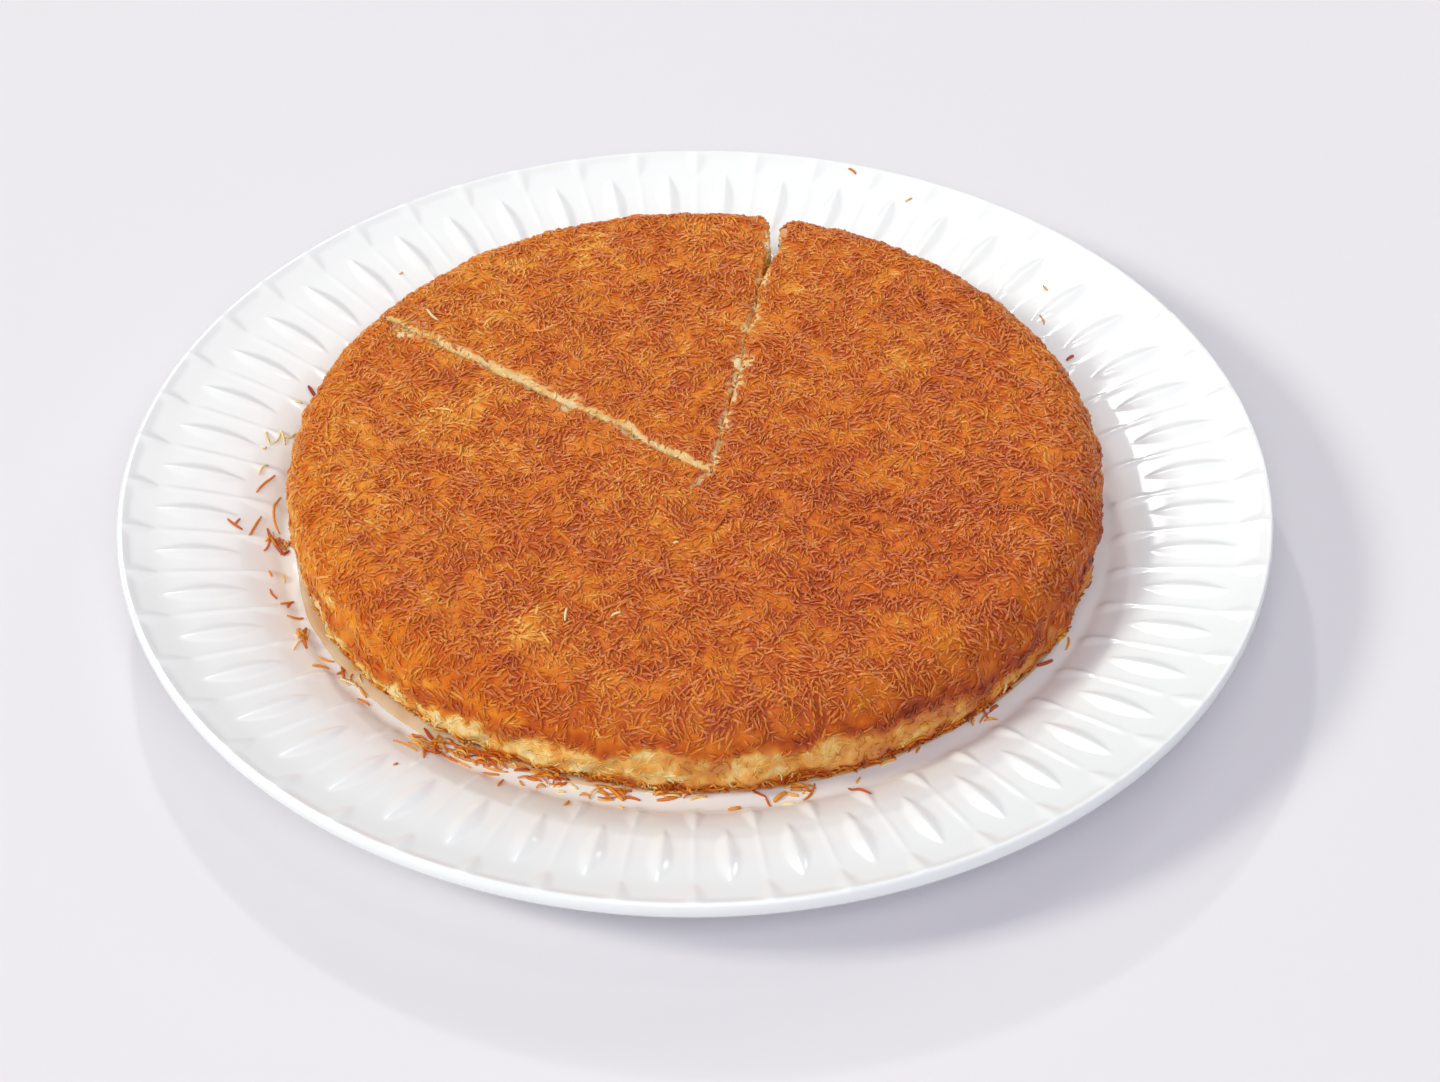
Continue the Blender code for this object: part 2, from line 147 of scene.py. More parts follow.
# Patches of the crust as (x, y, radius, change of bake), and how strongly they show
PATCH_DEPTH = 0.45
PATCHES = ((-30, 86, 7, -0.30), (1, 89, 6, -0.25), (-50, 74, 5, -0.22), (35, 86, 5, -0.15),
           (56, 28, 8, -0.30), (52, 33, 4, -0.15), (-54, 17, 6, -0.26), (-62, 8, 6, -0.26),
           (-67, 14, 4, -0.2), (-45, -9, 7, -0.22), (-57, -5, 6, -0.2),
           (-87, -19, 6, -0.3), (-80, -30, 5, -0.22),
           (-42, -72, 7, -0.36), (-30, -80, 7, -0.25), (-37, -64, 4, -0.2), (90, -5, 6, -0.18),
           (57, -73, 9, -0.2), (7, -38, 6, -0.14), (14, 47, 6, -0.18), (-20, -94, 8, -0.2),
           (-41, 64, 6, 0.2), (67, 59, 8, 0.18), (67, 19, 7, 0.18), (33, -20, 22, 0.14), (33, -60, 14, 0.14),
           (-80, -38, 6, 0.2), (-77, 34, 7, 0.2), (-66, 24, 5, 0.15), (-60, -84, 9, 0.18), (80, 38, 8, 0.15))

# Loose shreds on the plate as (x, y) of both ends, thickness and how brown. The ends were read in the
# photograph, another program turned them into millimetres, and some were then moved
LOOSE_SHREDS = (
    (-106, 49, -104, 46, 1.3, 0.95), (-116, 5, -112, 13, 0.9, 0.60), (-110, 6, -109, -8, 0.8, 0.55),
    (-122, -8, -118, -11, 0.9, 0.60), (-120, -10, -119, -7, 0.8, 0.60), (-116, -13, -114, -4, 0.9, 0.45),
    (-112, -8, -107, -16, 1.2, 0.85), (-112, -17, -111, -10, 0.8, 0.50), (-108, -10, -106, -12, 0.8, 0.60),
    (-108, -16, -106, -14, 0.9, 0.80), (-110, -25, -109, -27, 0.8, 0.50), (-107, -24, -106, -27, 0.8, 0.50),
    (-109, -32, -107, -35, 0.8, 0.55), (-106, -37, -103, -34, 0.8, 0.60), (-104, -38, -103, -34, 0.8, 0.60),
    (-104, -41, -100, -40, 0.8, 0.55), (-99, -44, -98, -53, 1.3, 0.75), (-101, -55, -99, -50, 0.8, 0.35),
    (-96, -60, -92, -59, 0.9, 0.60), (-95, -55, -91, -56, 0.8, 0.30), (-90, -61, -88, -59, 0.9, 0.60),
    (-89, -58, -88, -63, 1.0, 0.70), (-84, -65, -82, -69, 0.9, 0.60), (-84, -70, -81, -72, 0.8, 0.40),
    (-116, 12, -114, 16, 0.9, 0.02), (-111, 28, -109, 28, 1.0, 0.02), (-109, 29, -108, 31, 1.0, 0.05),
    (-116, 22, -115, 23, 0.8, 0.15), (-109, 42, -107, 42, 0.9, 0.02), (-74, -87, -68, -90, 0.7, 0.45),
    (-73, -98, -72, -97, 0.7, 0.40), (-66, -94, -67, -85, 0.9, 0.65), (-70, -82, -67, -83, 0.8, 0.70),
    (-67, -80, -64, -85, 1.1, 0.80), (-62, -86, -58, -89, 0.8, 0.60), (-63, -88, -58, -92, 0.8, 0.55),
    (-58, -90, -52, -91, 0.9, 0.60), (-60, -90, -55, -94, 0.7, 0.35), (-55, -88, -47, -89, 1.6, 0.85),
    (-52, -93, -46, -95, 0.8, 0.50), (-52, -96, -48, -96, 0.8, 0.35), (-48, -102, -47, -98, 0.8, 0.40),
    (-43, -98, -42, -100, 0.7, 0.30), (-41, -94, -33, -96, 1.0, 0.60), (-37, -93, -30, -95, 1.1, 0.80),
    (-36, -99, -33, -100, 0.8, 0.30), (-34, -102, -32, -102, 0.8, 0.30), (-31, -99, -29, -101, 0.8, 0.40),
    (-32, -109, -31, -106, 0.9, 0.40), (-24, -97, -22, -101, 0.9, 0.60), (-22, -100, -18, -105, 1.2, 0.65),
    (-19, -101, -16, -102, 0.9, 0.70), (-18, -104, -14, -105, 0.9, 0.65), (-19, -107, -18, -108, 0.7, 0.30),
    (-11, -103, -4, -103, 0.8, 0.50), (-10, -105, -5, -104, 1.1, 0.40), (-2, -105, 2, -104, 0.9, 0.45),
    (7, -109, 10, -108, 1.2, 0.30), (13, -102, 16, -104, 0.8, 0.60), (16, -104, 17, -108, 0.7, 0.55),
    (18, -106, 21, -103, 1.5, 0.55), (21, -103, 24, -104, 1.0, 0.45), (22, -101, 26, -101, 1.4, 0.40),
    (25, -106, 28, -100, 0.8, 0.40), (20, -107, 23, -107, 0.7, 0.15), (36, -102, 41, -107, 0.9, 0.60),
    (38, -100, 39, -98, 0.7, 0.35), (40, -95, 45, -93, 0.8, 0.50), (44, -94, 48, -92, 1.0, 0.40),
    (53, -90, 54, -88, 0.8, 0.35), (72, -76, 74, -74, 1.2, 0.80), (85, -60, 89, -58, 1.2, 0.95),
    (103, 57, 105, 58, 1.1, 0.85), (99, 87, 100, 85, 0.7, 0.30), (97, 75, 98, 72, 0.7, 0.30),
    (46, 140, 48, 138, 0.9, 0.40), (62, 126, 64, 127, 0.7, 0.20), (-84, 96, -83, 97, 0.8, 0.20))

# Shreds lying on the crust, some unbaked, in the same form and made the same way, none moved
TOP_SHREDS = (
    (-31.6, -64.8, -32.0, -68.7, 0.7, 0.0), (-20.8, -67.9, -18.4, -66.9, 0.7, 0.0),
    (-5.8, -41.3, -4.3, -41.0, 0.6, 0.05), (-72.5, 54.9, -69.2, 50.1, 0.8, 0.0),
    (-27.5, -47.3, -20.6, -48.6, 0.9, 0.75), (-10.2, -53.8, -8.5, -59.0, 0.85, 0.72),
    (4.2, -37.3, 8.1, -29.4, 0.85, 0.7), (24.1, -58.0, 25.0, -61.6, 0.8, 0.7))

# Heaps of shreds as (x, y, spread, how many, bearing of the heap in degrees, how brown)
SHRED_HEAPS = ((-109, -12, 3.0, 12, 100, 0.62), (-99, -48, 2.5, 5, 110, 0.6), (-64, -86, 4.0, 22, 315, 0.68),
               (-57, -88, 4.5, 24, 325, 0.75), (-49, -92, 4.5, 18, 335, 0.7), (-36, -96, 5.0, 22, 345, 0.72),
               (-20, -102, 4.0, 14, 350, 0.6), (-6, -103, 5.0, 12, 0, 0.55), (24, -102, 3.0, 8, 10, 0.5),
               (-86, -63, 2.5, 6, 300, 0.6), (-112, 27, 3.0, 5, 90, 0.02), (92, -50, 4.0, 6, 60, 0.7),
               (70, -78, 4.0, 6, 40, 0.6))

# Syrup that has run out round the foot, with the pastry's painted shadow and reflection on the plate there,
# as (bearing, width) with widths in millimetres
FILM_WIDTHS = ((0, 0.3), (60, 0.2), (120, 0.2), (170, 0.6), (188, 1.2), (203, 2.4), (228, 2.0), (240, 0.2),
                (262, -0.8), (300, -0.8), (330, 0.2), (360, 0.3))
FILM_DEPTH = 0.35
FILM_INNER_R = 98.0
FILM_COLUMNS = 720
# Section of the film as (share of its width, share of its depth)
FILM_SECTION = ((0.0, 0.02), (0.6, 1.0), (0.85, 0.9), (0.95, 0.6), (1.0, 0.1), (0.97, -0.2), (0.5, -0.2),
                 (0.0, -0.2))
SHRED_SEED = 12

# Light and view
TABLE_COLOUR = (0.785, 0.768, 0.805)
WORLD_COLOUR = (0.27, 0.265, 0.315)
WORLD_STRENGTH = 1.0
TABLE_HALF = 4.0              # in metres
VIEW_DISTANCE = 825.6         # from the middle of the rim, in millimetres
VIEW_ELEVATION = 40.406       # in degrees, as the next three
VIEW_PAN, VIEW_TILT, VIEW_ROLL = 0.433, 1.179, 0.530
LENS, SENSOR = 78.92, 36.0     # focal length and sensor width in millimetres


# Helpers

def between(x, low, high):
    """0 below low, 1 above high, and smooth between them."""
    t = min(1.0, max(0.0, (x - low) / (high - low)))
    return t * t * (3 - 2 * t)


def rough(x, y, z, scale, seed):
    return noise.noise(Vector((x / scale, y / scale, z / scale + 7.3 * seed)))


def height_on(line, r):
    """Height at a radius on a smooth curve through (radius, height) points."""
    i = 1
    while i < len(line) - 3 and r > line[i + 1][0]:
        i += 1
    (xa, ya), (x0, y0), (x1, y1), (xb, yb) = line[i - 1:i + 3]
    width = x1 - x0
    t = (r - x0) / width
    enter = (y1 - ya) / (x1 - xa) * width
    leave = (yb - y0) / (xb - x0) * width
    return ((2 * t ** 3 - 3 * t ** 2 + 1) * y0 + (t ** 3 - 2 * t ** 2 + t) * enter
            + (3 * t ** 2 - 2 * t ** 3) * y1 + (t ** 3 - t ** 2) * leave)


def make_mesh(name, points, faces, **attributes):
    """A smooth mesh from millimetre points, with a float attribute for each keyword."""
    mesh = bpy.data.meshes.new(name)
    mesh.from_pydata([(x * MM, y * MM, z * MM) for x, y, z in points], [], faces)
    for key, values in attributes.items():
        layer = mesh.attributes.new(key, "FLOAT", "POINT")
        layer.data.foreach_set("value", values)
    mesh.shade_smooth()
    mesh.validate()
    return mesh


def add_object(name, mesh):
    item = bpy.data.objects.new(name, mesh)
    bpy.context.scene.collection.objects.link(item)
    return item


def face_outwards(mesh):
    """Turns a closed mesh's faces outwards and splits those with more than four corners."""
    bm = bmesh.new()
    bm.from_mesh(mesh)
    bmesh.ops.recalc_face_normals(bm, faces=bm.faces)
    bmesh.ops.triangulate(bm, faces=[f for f in bm.faces if len(f.verts) > 4])
    bm.to_mesh(mesh)
    bm.free()


def zip_rows(faces, first, second):
    """Triangles and quads between two open rows of points, whatever their counts."""
    i, j = 0, 0
    n, m = len(first) - 1, len(second) - 1
    while i < n or j < m:
        if i < n and j < m and (i + 1) * m == (j + 1) * n:
            faces.append((first[i], first[i + 1], second[j + 1], second[j]))
            i, j = i + 1, j + 1
        elif j == m or (i < n and (i + 1) * m <= (j + 1) * n):
            faces.append((first[i], first[i + 1], second[j]))
            i += 1
        else:
            faces.append((first[i], second[j + 1], second[j]))
            j += 1


# Node trees

def put(tree, kind, sockets=None, **settings):
    """Adds a node and fills its sockets, each with a value or with another node's output."""
    made = tree.nodes.new(kind)
    made.location = (len(tree.nodes) % 12 * 190, -(len(tree.nodes) // 12) * 300)
    for key, value in settings.items():
        setattr(made, key, value)
    for key, value in (sockets or {}).items():
        if isinstance(value, bpy.types.NodeSocket):
            tree.links.new(value, made.inputs[key])
        else:
            made.inputs[key].default_value = value
    return made


def maths(tree, operation, *terms):
    return put(tree, "ShaderNodeMath", dict(enumerate(terms)), operation=operation).outputs[0]


def vectors(tree, operation, *terms):
    made = put(tree, "ShaderNodeVectorMath", dict(enumerate(terms)), operation=operation)
    return made.outputs["Value" if operation == "LENGTH" else "Vector"]


def scaled(tree, vector, factor):
    return put(tree, "ShaderNodeVectorMath", {0: vector, "Scale": factor}, operation="SCALE").outputs[0]


def ranged(tree, value, low, high, to_low=0.0, to_high=1.0):
    sockets = {"Value": value, "From Min": low, "From Max": high, "To Min": to_low, "To Max": to_high}
    return put(tree, "ShaderNodeMapRange", sockets, interpolation_type="SMOOTHSTEP").outputs[0]


def mixed(tree, factor, first, second):
    made = put(tree, "ShaderNodeMix", {0: factor, 6: first, 7: second}, data_type="RGBA")
    return made.outputs[2]


def speckle(tree, scale, detail, roughness):
    """Noise over the object's own coordinates, with about `scale` features a metre."""
    where = put(tree, "ShaderNodeTexCoord").outputs["Object"]
    return put(tree, "ShaderNodeTexNoise", {"Vector": where, "Scale": scale, "Detail": detail,
                                            "Roughness": roughness}).outputs["Fac"]


def attribute(tree, name):
    return put(tree, "ShaderNodeAttribute", attribute_name=name).outputs["Fac"]


def ramp(tree, factor, stops):
    made = put(tree, "ShaderNodeValToRGB", {"Fac": factor})
    elements = made.color_ramp.elements
    while len(elements) < len(stops):
        elements.new(0.5)
    for element, (place, colour) in zip(elements, stops):
        element.position = place
        element.color = (*colour, 1.0)
    return made.outputs["Color"]


def new_group(name, kind, inputs, outputs):
    """An empty node group with its named sockets, and its input and output nodes."""
    tree = bpy.data.node_groups.new(name, kind)
    for label, socket, default in inputs:
        made = tree.interface.new_socket(label, in_out="INPUT", socket_type="NodeSocket" + socket)
        if default is not None:
            made.default_value = default
    for label, socket in outputs:
        tree.interface.new_socket(label, in_out="OUTPUT", socket_type="NodeSocket" + socket)
    return tree, put(tree, "NodeGroupInput").outputs, put(tree, "NodeGroupOutput")


def use_group(tree, group, sockets):
    return put(tree, "ShaderNodeGroup", sockets, node_tree=group).outputs


def new_material(name):
    made = bpy.data.materials.new(name)
    made.use_nodes = True
    return made, made.node_tree, made.node_tree.nodes["Principled BSDF"]


# Finishes

BAKED_STOPS = ((0.0, (0.89, 0.71, 0.38)), (0.09, (0.93, 0.67, 0.25)), (0.19, (0.87, 0.45, 0.085)),
               (0.3, (0.77, 0.285, 0.026)), (0.45, (0.665, 0.176, 0.011)), (0.6, (0.57, 0.115, 0.009)),
               (0.8, (0.40, 0.058, 0.009)), (1.0, (0.16, 0.026, 0.008)))

# Light that soaks into the buttery pastry, and how far its red, green and blue travel
BODY_GLOW = 0.15
GLOW_REACH = (1.0, 0.4, 0.15)

# Finish of each kind of strand: name, how much more it is baked than the place it lies on, spread of that,
# lowest and highest roughness, gloss, how much paler it is low on the side, glow
STRAND_FINISHES = {
    "shreds": ("crust_shreds", 0.05, 0.25, 0.24, 0.36, 0.75, 0.04, 0.06),
    "bits": ("crust_bits", 0.01, 0.23, 0.26, 0.40, 0.70, 0.03, 0.06),
    "nibs": ("crust_nibs", -0.01, 0.22, 0.32, 0.48, 0.38, 0.08, 0.12),
    "fuzz": ("side_fuzz", 0.0, 0.16, 0.45, 0.62, 0.25, 0.0, 0.12),
    "crumbs": ("cut_crumbs", 0.0, 0.20, 0.35, 0.55, 0.35, 0.0, 0.06),
    "fringe": ("foot_fringe", -0.06, 0.40, 0.45, 0.60, 0.25, 0.0, 0.12),
    "loose": ("loose_shreds", -0.15, 0.40, 0.35, 0.55, 0.40, 0.0, 0.15),
}


def baked_colour_group():
    """Pastry colour from how far it is baked: pale, golden, orange, red brown and burnt."""
    tree, given, result = new_group("baked colour", "ShaderNodeTree",
                                    (("Bake", "Float", 0.5), ("Grain Size", "Float", 700.0),
                                     ("Grain Depth", "Float", 0.2)), (("Color", "Color"),))
    grain = speckle(tree, given["Grain Size"], 3.0, 0.6)
    shift = maths(tree, "MULTIPLY", maths(tree, "SUBTRACT", grain, 0.5), given["Grain Depth"])
    tree.links.new(ramp(tree, maths(tree, "ADD", given["Bake"], shift), BAKED_STOPS), result.inputs["Color"])
    return tree


def crumb_colour_group():
    """Moist inner crumb: cream with translucent, slightly green yellow spots."""
    tree, given, result = new_group("crumb colour", "ShaderNodeTree", (("Size", "Float", 260.0),),
                                    (("Color", "Color"),))
    spots = ranged(tree, speckle(tree, given["Size"], 3.0, 0.6), 0.38, 0.62)
    tone = mixed(tree, spots, (0.77, 0.61, 0.36, 1), (0.75, 0.50, 0.20, 1))
    tree.links.new(tone, result.inputs["Color"])
    return tree


def glaze_finish():
    made, tree, shader = new_material("white_glaze")
    place = put(tree, "ShaderNodeTexCoord").outputs["Object"]
    parts = put(tree, "ShaderNodeSeparateXYZ", {0: place}).outputs
    radius = vectors(tree, "LENGTH", put(tree, "ShaderNodeCombineXYZ", {0: parts[0], 1: parts[1]}).outputs[0])
    low = ranged(tree, parts[2], 0.0003, 0.0006, 1.0, 0.0)
    bare = maths(tree, "MULTIPLY", low, ranged(tree, radius, 0.0895, 0.0900))
    cloud = speckle(tree, 9.0, 3.0, 0.5)
    # The white is painted a little cool, which offsets the orange light that the pastry throws onto the
    # plate.
    white = mixed(tree, cloud, (0.86, 0.888, 0.896, 1), (0.885, 0.912, 0.918, 1))
    tree.links.new(mixed(tree, bare, white, (0.62, 0.59, 0.54, 1)), shader.inputs["Base Color"])
    smear = ranged(tree, speckle(tree, 40.0, 4.0, 0.55), 0.35, 0.7, 0.09, 0.14)
    tree.links.new(maths(tree, "ADD", smear, maths(tree, "MULTIPLY", bare, 0.6)), shader.inputs["Roughness"])
    ripple = put(tree, "ShaderNodeBump", {"Height": speckle(tree, 55.0, 2.0, 0.4), "Strength": 0.25,
                                          "Distance": 0.00025})
    tree.links.new(ripple.outputs[0], shader.inputs["Normal"])
    shader.inputs["IOR"].default_value = 1.5
    return made


def body_finish(baked, crumb):
    """The mass of the pastry: browned crust outside, cream crumb where it is cut."""
    made, tree, shader = new_material("pastry_body")
    # Darker, redder crust where the shreds lie thick: partly browner crust, partly painted shade in the gaps
    # between the shreds.
    bake_and_shade_between_shreds = ranged(tree, attribute(tree, "on_top"), 0.5, 0.95, 0.04, 0.24)
    bake = maths(tree, "ADD", attribute(tree, "bake"), bake_and_shade_between_shreds)
    crust = use_group(tree, baked, {"Bake": bake, "Grain Size": 500.0, "Grain Depth": 0.22})["Color"]
    inner = use_group(tree, crumb, {"Size": 330.0})["Color"]
    tree.links.new(mixed(tree, attribute(tree, "crumb"), crust, inner), shader.inputs["Base Color"])
    shine = ranged(tree, speckle(tree, 420.0, 2.0, 0.5), 0.3, 0.7, 0.34, 0.60)
    tree.links.new(shine, shader.inputs["Roughness"])
    threads = put(tree, "ShaderNodeTexVoronoi", {"Vector": put(tree, "ShaderNodeTexCoord").outputs["Object"],
                                                 "Scale": 900.0}, feature="SMOOTH_F1").outputs["Distance"]
    grain = maths(tree, "ADD", threads, speckle(tree, 1100.0, 3.0, 0.6))
    bump = put(tree, "ShaderNodeBump", {"Height": grain, "Strength": 0.4, "Distance": 0.0004})
    tree.links.new(bump.outputs[0], shader.inputs["Normal"])
    shader.inputs["Specular IOR Level"].default_value = 0.18
    shader.inputs["Subsurface Weight"].default_value = BODY_GLOW
    shader.inputs["Subsurface Radius"].default_value = GLOW_REACH
    shader.inputs["Subsurface Scale"].default_value = 0.003
    return made


def strand_finish(baked, name, shift, spread, rough_low, rough_high, gloss, side_paler, glow):
    """Chopped pastry strands: baked by the place they lie on, each a little more or less."""
    made, tree, shader = new_material(name)
    tone = maths(tree, "SUBTRACT", attribute(tree, "tone"), 0.5)
    place = put(tree, "ShaderNodeSeparateXYZ", {0: put(tree, "ShaderNodeTexCoord").outputs["Object"]}).outputs
    # Strands lower on the side are made paler: partly paler pastry, partly a painted highlight along them.
    moved = ranged(tree, place[2], 0.0270, 0.0345, shift - side_paler, shift)
    bake = maths(tree, "MULTIPLY_ADD", tone, spread, maths(tree, "ADD", attribute(tree, "bake"), moved))
    tree.links.new(use_group(tree, baked, {"Bake": bake, "Grain Size": 1500.0, "Grain Depth": 0.22})["Color"],
                   shader.inputs["Base Color"])
    shine = ranged(tree, speckle(tree, 900.0, 2.0, 0.5), 0.3, 0.7, rough_low, rough_high)
    tree.links.new(shine, shader.inputs["Roughness"])
    bump = put(tree, "ShaderNodeBump", {"Height": speckle(tree, 2600.0, 2.0, 0.5), "Strength": 0.35,
                                        "Distance": 0.0002})
    tree.links.new(bump.outputs[0], shader.inputs["Normal"])
    shader.inputs["Specular IOR Level"].default_value = gloss
    shader.inputs["Subsurface Weight"].default_value = glow
    shader.inputs["Subsurface Radius"].default_value = GLOW_REACH
    shader.inputs["Subsurface Scale"].default_value = 0.002
    return made


def table_finish():
    made, tree, shader = new_material("pale_table")
    cloud = speckle(tree, 3.0, 2.0, 0.5)
    low = tuple(c * 0.985 for c in TABLE_COLOUR)
    tree.links.new(mixed(tree, cloud, (*low, 1), (*TABLE_COLOUR, 1)), shader.inputs["Base Color"])
    shader.inputs["Roughness"].default_value = 0.6
    return made


# Plate

def leaf(offset, r, row):
    """Rise of one pointed leaf at an offset in leaf periods from its midrib, 0 to 1."""
    tip, end = row
    along = (r / RIM_R - tip) / (end - tip)
    if not 0.0 < along < 1.0:
        return 0.0
    swell = math.sin(math.pi * along)
    half = LEAF_HALF * swell ** 0.75
    back = max(0.0, 1.0 - (abs(offset) / half) ** LEAF_RIDGE)
    return swell ** 0.5 * back * (0.45 + 0.55 * back)


def rim_height(turn, r):
    """Upper face of the rim at a turn in leaf periods, with its leaves, seams and raised lip."""
    middle = turn - round(turn)
    edge = turn - 0.5 - round(turn - 0.5)
    fade = between(r / RIM_R, *RELIEF_FADE)
    leaves = max(leaf(middle, r, MIDDLE_ROW), leaf(edge, r, INNER_ROW), 0.7 * leaf(edge, r, OUTER_ROW))
    low, high = SEAM_ROW
    along = (r / RIM_R - low) / (high - low)
    seam = math.sin(math.pi * along) ** 0.5 if 0 < along < 1 else 0.0
    seam *= SEAM_RISE * math.exp(-(edge / SEAM_HALF) ** 2)
    wall = LIP_WALL * between(r / RIM_R, *LIP_WALL_SPAN)
    rise = max(LEAF_RISE * leaves * fade, wall, seam)
    soft = 0.25
    blend = max(0.0, soft - abs(LEAF_RISE * leaves * fade - wall)) / soft
    return height_on(RIM_LINE, r) + rise + 0.25 * soft * blend * blend


def leaf_period():
    """One period of the plate from its middle, over the rim and lip, and under to the middle again."""
    rows = [(0.0, FLOOR_Z, 0), (40.0, FLOOR_Z, 3), (75.0, FLOOR_Z, 5), (99.0, FLOOR_Z, FOOT_COLUMNS)]
    rows += [(WELL_R + (RIM_R - WELL_R) * i / RIM_ROWS, None, RIM_COLUMNS) for i in range(RIM_ROWS + 1)]
    rows += [(r, z, RIM_COLUMNS) for r, z in LIP_LINE]
    rows += [(r, z, EDGE_COLUMNS) for r, z in EDGE_LINE]
    rows += [(r, z, FOOT_COLUMNS) for r, z in FOOT_LINE] + [(0.0, FOOT_LINE[-1][1], 0)]
    points, faces, chains = [], [], []
    for r, z, count in rows:
        chain = []
        for i in range(count + 1):
            turn = i / max(1, count) - 0.5
            a = LEAF_PHASE + turn * TURN / LEAVES
            chain.append(len(points))
            points.append((r * math.cos(a), r * math.sin(a), rim_height(turn, r) if z is None else z))
        chains.append(chain)
    for first, second in zip(chains, chains[1:]):
        zip_rows(faces, second, first)
    return make_mesh("leaf_period", points, faces)


def repeat_round_tree():
    """Copies its geometry round the Z axis and joins the copies into one closed shape."""
    tree, given, result = new_group("repeat round", "GeometryNodeTree",
                                    (("Geometry", "Geometry", None), ("Count", "Int", 12),
                                     ("Weld", "Float", 0.00002), ("Finish", "Material", None)),
                                    (("Geometry", "Geometry"),))
    spots = put(tree, "GeometryNodeMeshLine", {"Count": given["Count"], "Offset": (0, 0, 0)})
    share = maths(tree, "DIVIDE", put(tree, "GeometryNodeInputIndex").outputs[0], given["Count"])
    turn = put(tree, "ShaderNodeCombineXYZ", {"Z": maths(tree, "MULTIPLY", share, TURN)})
    facing = put(tree, "FunctionNodeEulerToRotation", {0: turn.outputs[0]})
    copies = put(tree, "GeometryNodeInstanceOnPoints",
                 {"Points": spots.outputs[0], "Instance": given["Geometry"], "Rotation": facing.outputs[0]})
    real = put(tree, "GeometryNodeRealizeInstances", {"Geometry": copies.outputs[0]})
    whole = put(tree, "GeometryNodeMergeByDistance", {"Geometry": real.outputs[0], "Distance": given["Weld"]})
    smooth = put(tree, "GeometryNodeSetShadeSmooth", {"Geometry": whole.outputs[0]})
    done = put(tree, "GeometryNodeSetMaterial", {"Geometry": smooth.outputs[0], "Material": given["Finish"]})
    tree.links.new(done.outputs[0], result.inputs["Geometry"])
    return tree


def grown(name, mesh, tree, settings):
    """Runs a Geometry Nodes tree on a mesh and returns its result as a plain object."""
    seed_object = add_object(name + "_seed", mesh)
    mod = seed_object.modifiers.new("tree", "NODES")
    mod.node_group = tree
    for item in tree.interface.items_tree:
        if item.item_type == "SOCKET" and item.in_out == "INPUT" and item.name in settings:
            value = settings[item.name]
            if isinstance(value, str):
                mod[item.identifier + "_use_attribute"] = True
                mod[item.identifier + "_attribute_name"] = value
            else:
                mod[item.identifier] = value
    graph = bpy.context.evaluated_depsgraph_get()
    made = bpy.data.meshes.new_from_object(seed_object.evaluated_get(graph))
    made.name = name
    bpy.data.objects.remove(seed_object, do_unlink=True)
    for layer in [a.name for a in made.attributes if a.name.startswith("strand_")]:
        made.attributes.remove(made.attributes[layer])
    return add_object(name, made)


def make_plate(tree, finish):
    plate = grown("plate_glazed", leaf_period(), tree, {"Count": LEAVES, "Finish": finish})
    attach(plate, "root")
    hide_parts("plate")


# Pastry bodies

def half_gap(cut, along):
    """Half of the width a cut stands open, from where the cuts meet to the edge."""
    if cut == BACK_CUT:
        opened = 0.9 * between(along, 86, 94) + 0.3 * between(along, 100, 109)
        return BACK_GAP + opened + BACK_CORNER * between(along, 106, 117) ** 1.4
    gap, swing, wave = LEFT_GAP
    return gap + swing * math.sin(along / wave)


def cut_point(cut, side, along, level):
    """Plan point on one face of a cut; side is +1 or -1 across it."""
    a = math.radians(cut)
    wander = CUT_WANDER[0] * rough(along, 0, 0, 21.0, cut) + CUT_WANDER[1] * rough(along, 0, 0, 8.0, cut + 1)
    torn = abs(CUT_TORN * rough(along, level, 10 * side, 5.0, cut + 2))
    torn += CUT_CRUMB * max(-0.3, rough(along, level, 10 * side, 2.2, cut + 3)) * min(1.0, along / 4)
    if cut == LEFT_CUT:
        fill = 0.9 * between(level, *LEFT_FLOOR)
    else:
        floor = BACK_FLOOR - BACK_FALL * between(along, 84, 94)
        fill = 1.2 * between(along, 96, 93) * between(level, floor, floor - 1.0)
    fill = min(0.97, fill * (0.85 + 0.4 * rough(along, level, 10 * side, 3.0, cut + 4)))
    hold = 0.5 if cut == LEFT_CUT else 0.9
    gap = half_gap(cut, along) * min(1.0, along / 2.5) * (1 - fill)
    across = wander * min(1.0, along / 15) + side * (gap + torn * (1 - hold * fill))
    return (MEET[0] + along * math.cos(a) - across * math.sin(a),
            MEET[1] + along * math.sin(a) + across * math.cos(a))


def from_middle(point):
    return math.hypot(point[0] - CAKE_X, point[1] - CAKE_Y)


def along_at(cut, side, radius, level):
    """How far along a cut its face passes a radius of the disc."""
    low, high = 0.0, CUT_REACH
    for _ in range(24):
        middle = (low + high) / 2
        if from_middle(cut_point(cut, side, middle, level)) < radius:
            low = middle
        else:
            high = middle
    return low


def on_flat_edge(angle):
    """Plan point at a bearing where the flat top ends."""
    return Vector((CAKE_X + FLAT_R * math.cos(angle), CAKE_Y + FLAT_R * math.sin(angle)))


def side_profile():
    """(radius, height, raggedness) from the end of the flat top round the shoulder to the foot."""
    rows = []
    steps = round(SHOULDER_R * math.pi / 2 / GRID)
    for i in range(1, steps + 1):
        a = math.pi / 2 * i / steps
        rows.append((FLAT_R + SHOULDER_R * math.sin(a), CAKE_H - DOME - SHOULDER_R * (1 - math.cos(a)), 0.7))
    for (r0, z0, g0), (r1, z1, g1) in zip(SIDE_LINE, SIDE_LINE[1:]):
        count = round((z0 - z1) / GRID)
        for i in range(1, count + 1):
            t = i / count
            rows.append((r0 + (r1 - r0) * t, z0 + (z1 - z0) * t, g0 + (g1 - g0) * t))
    return rows


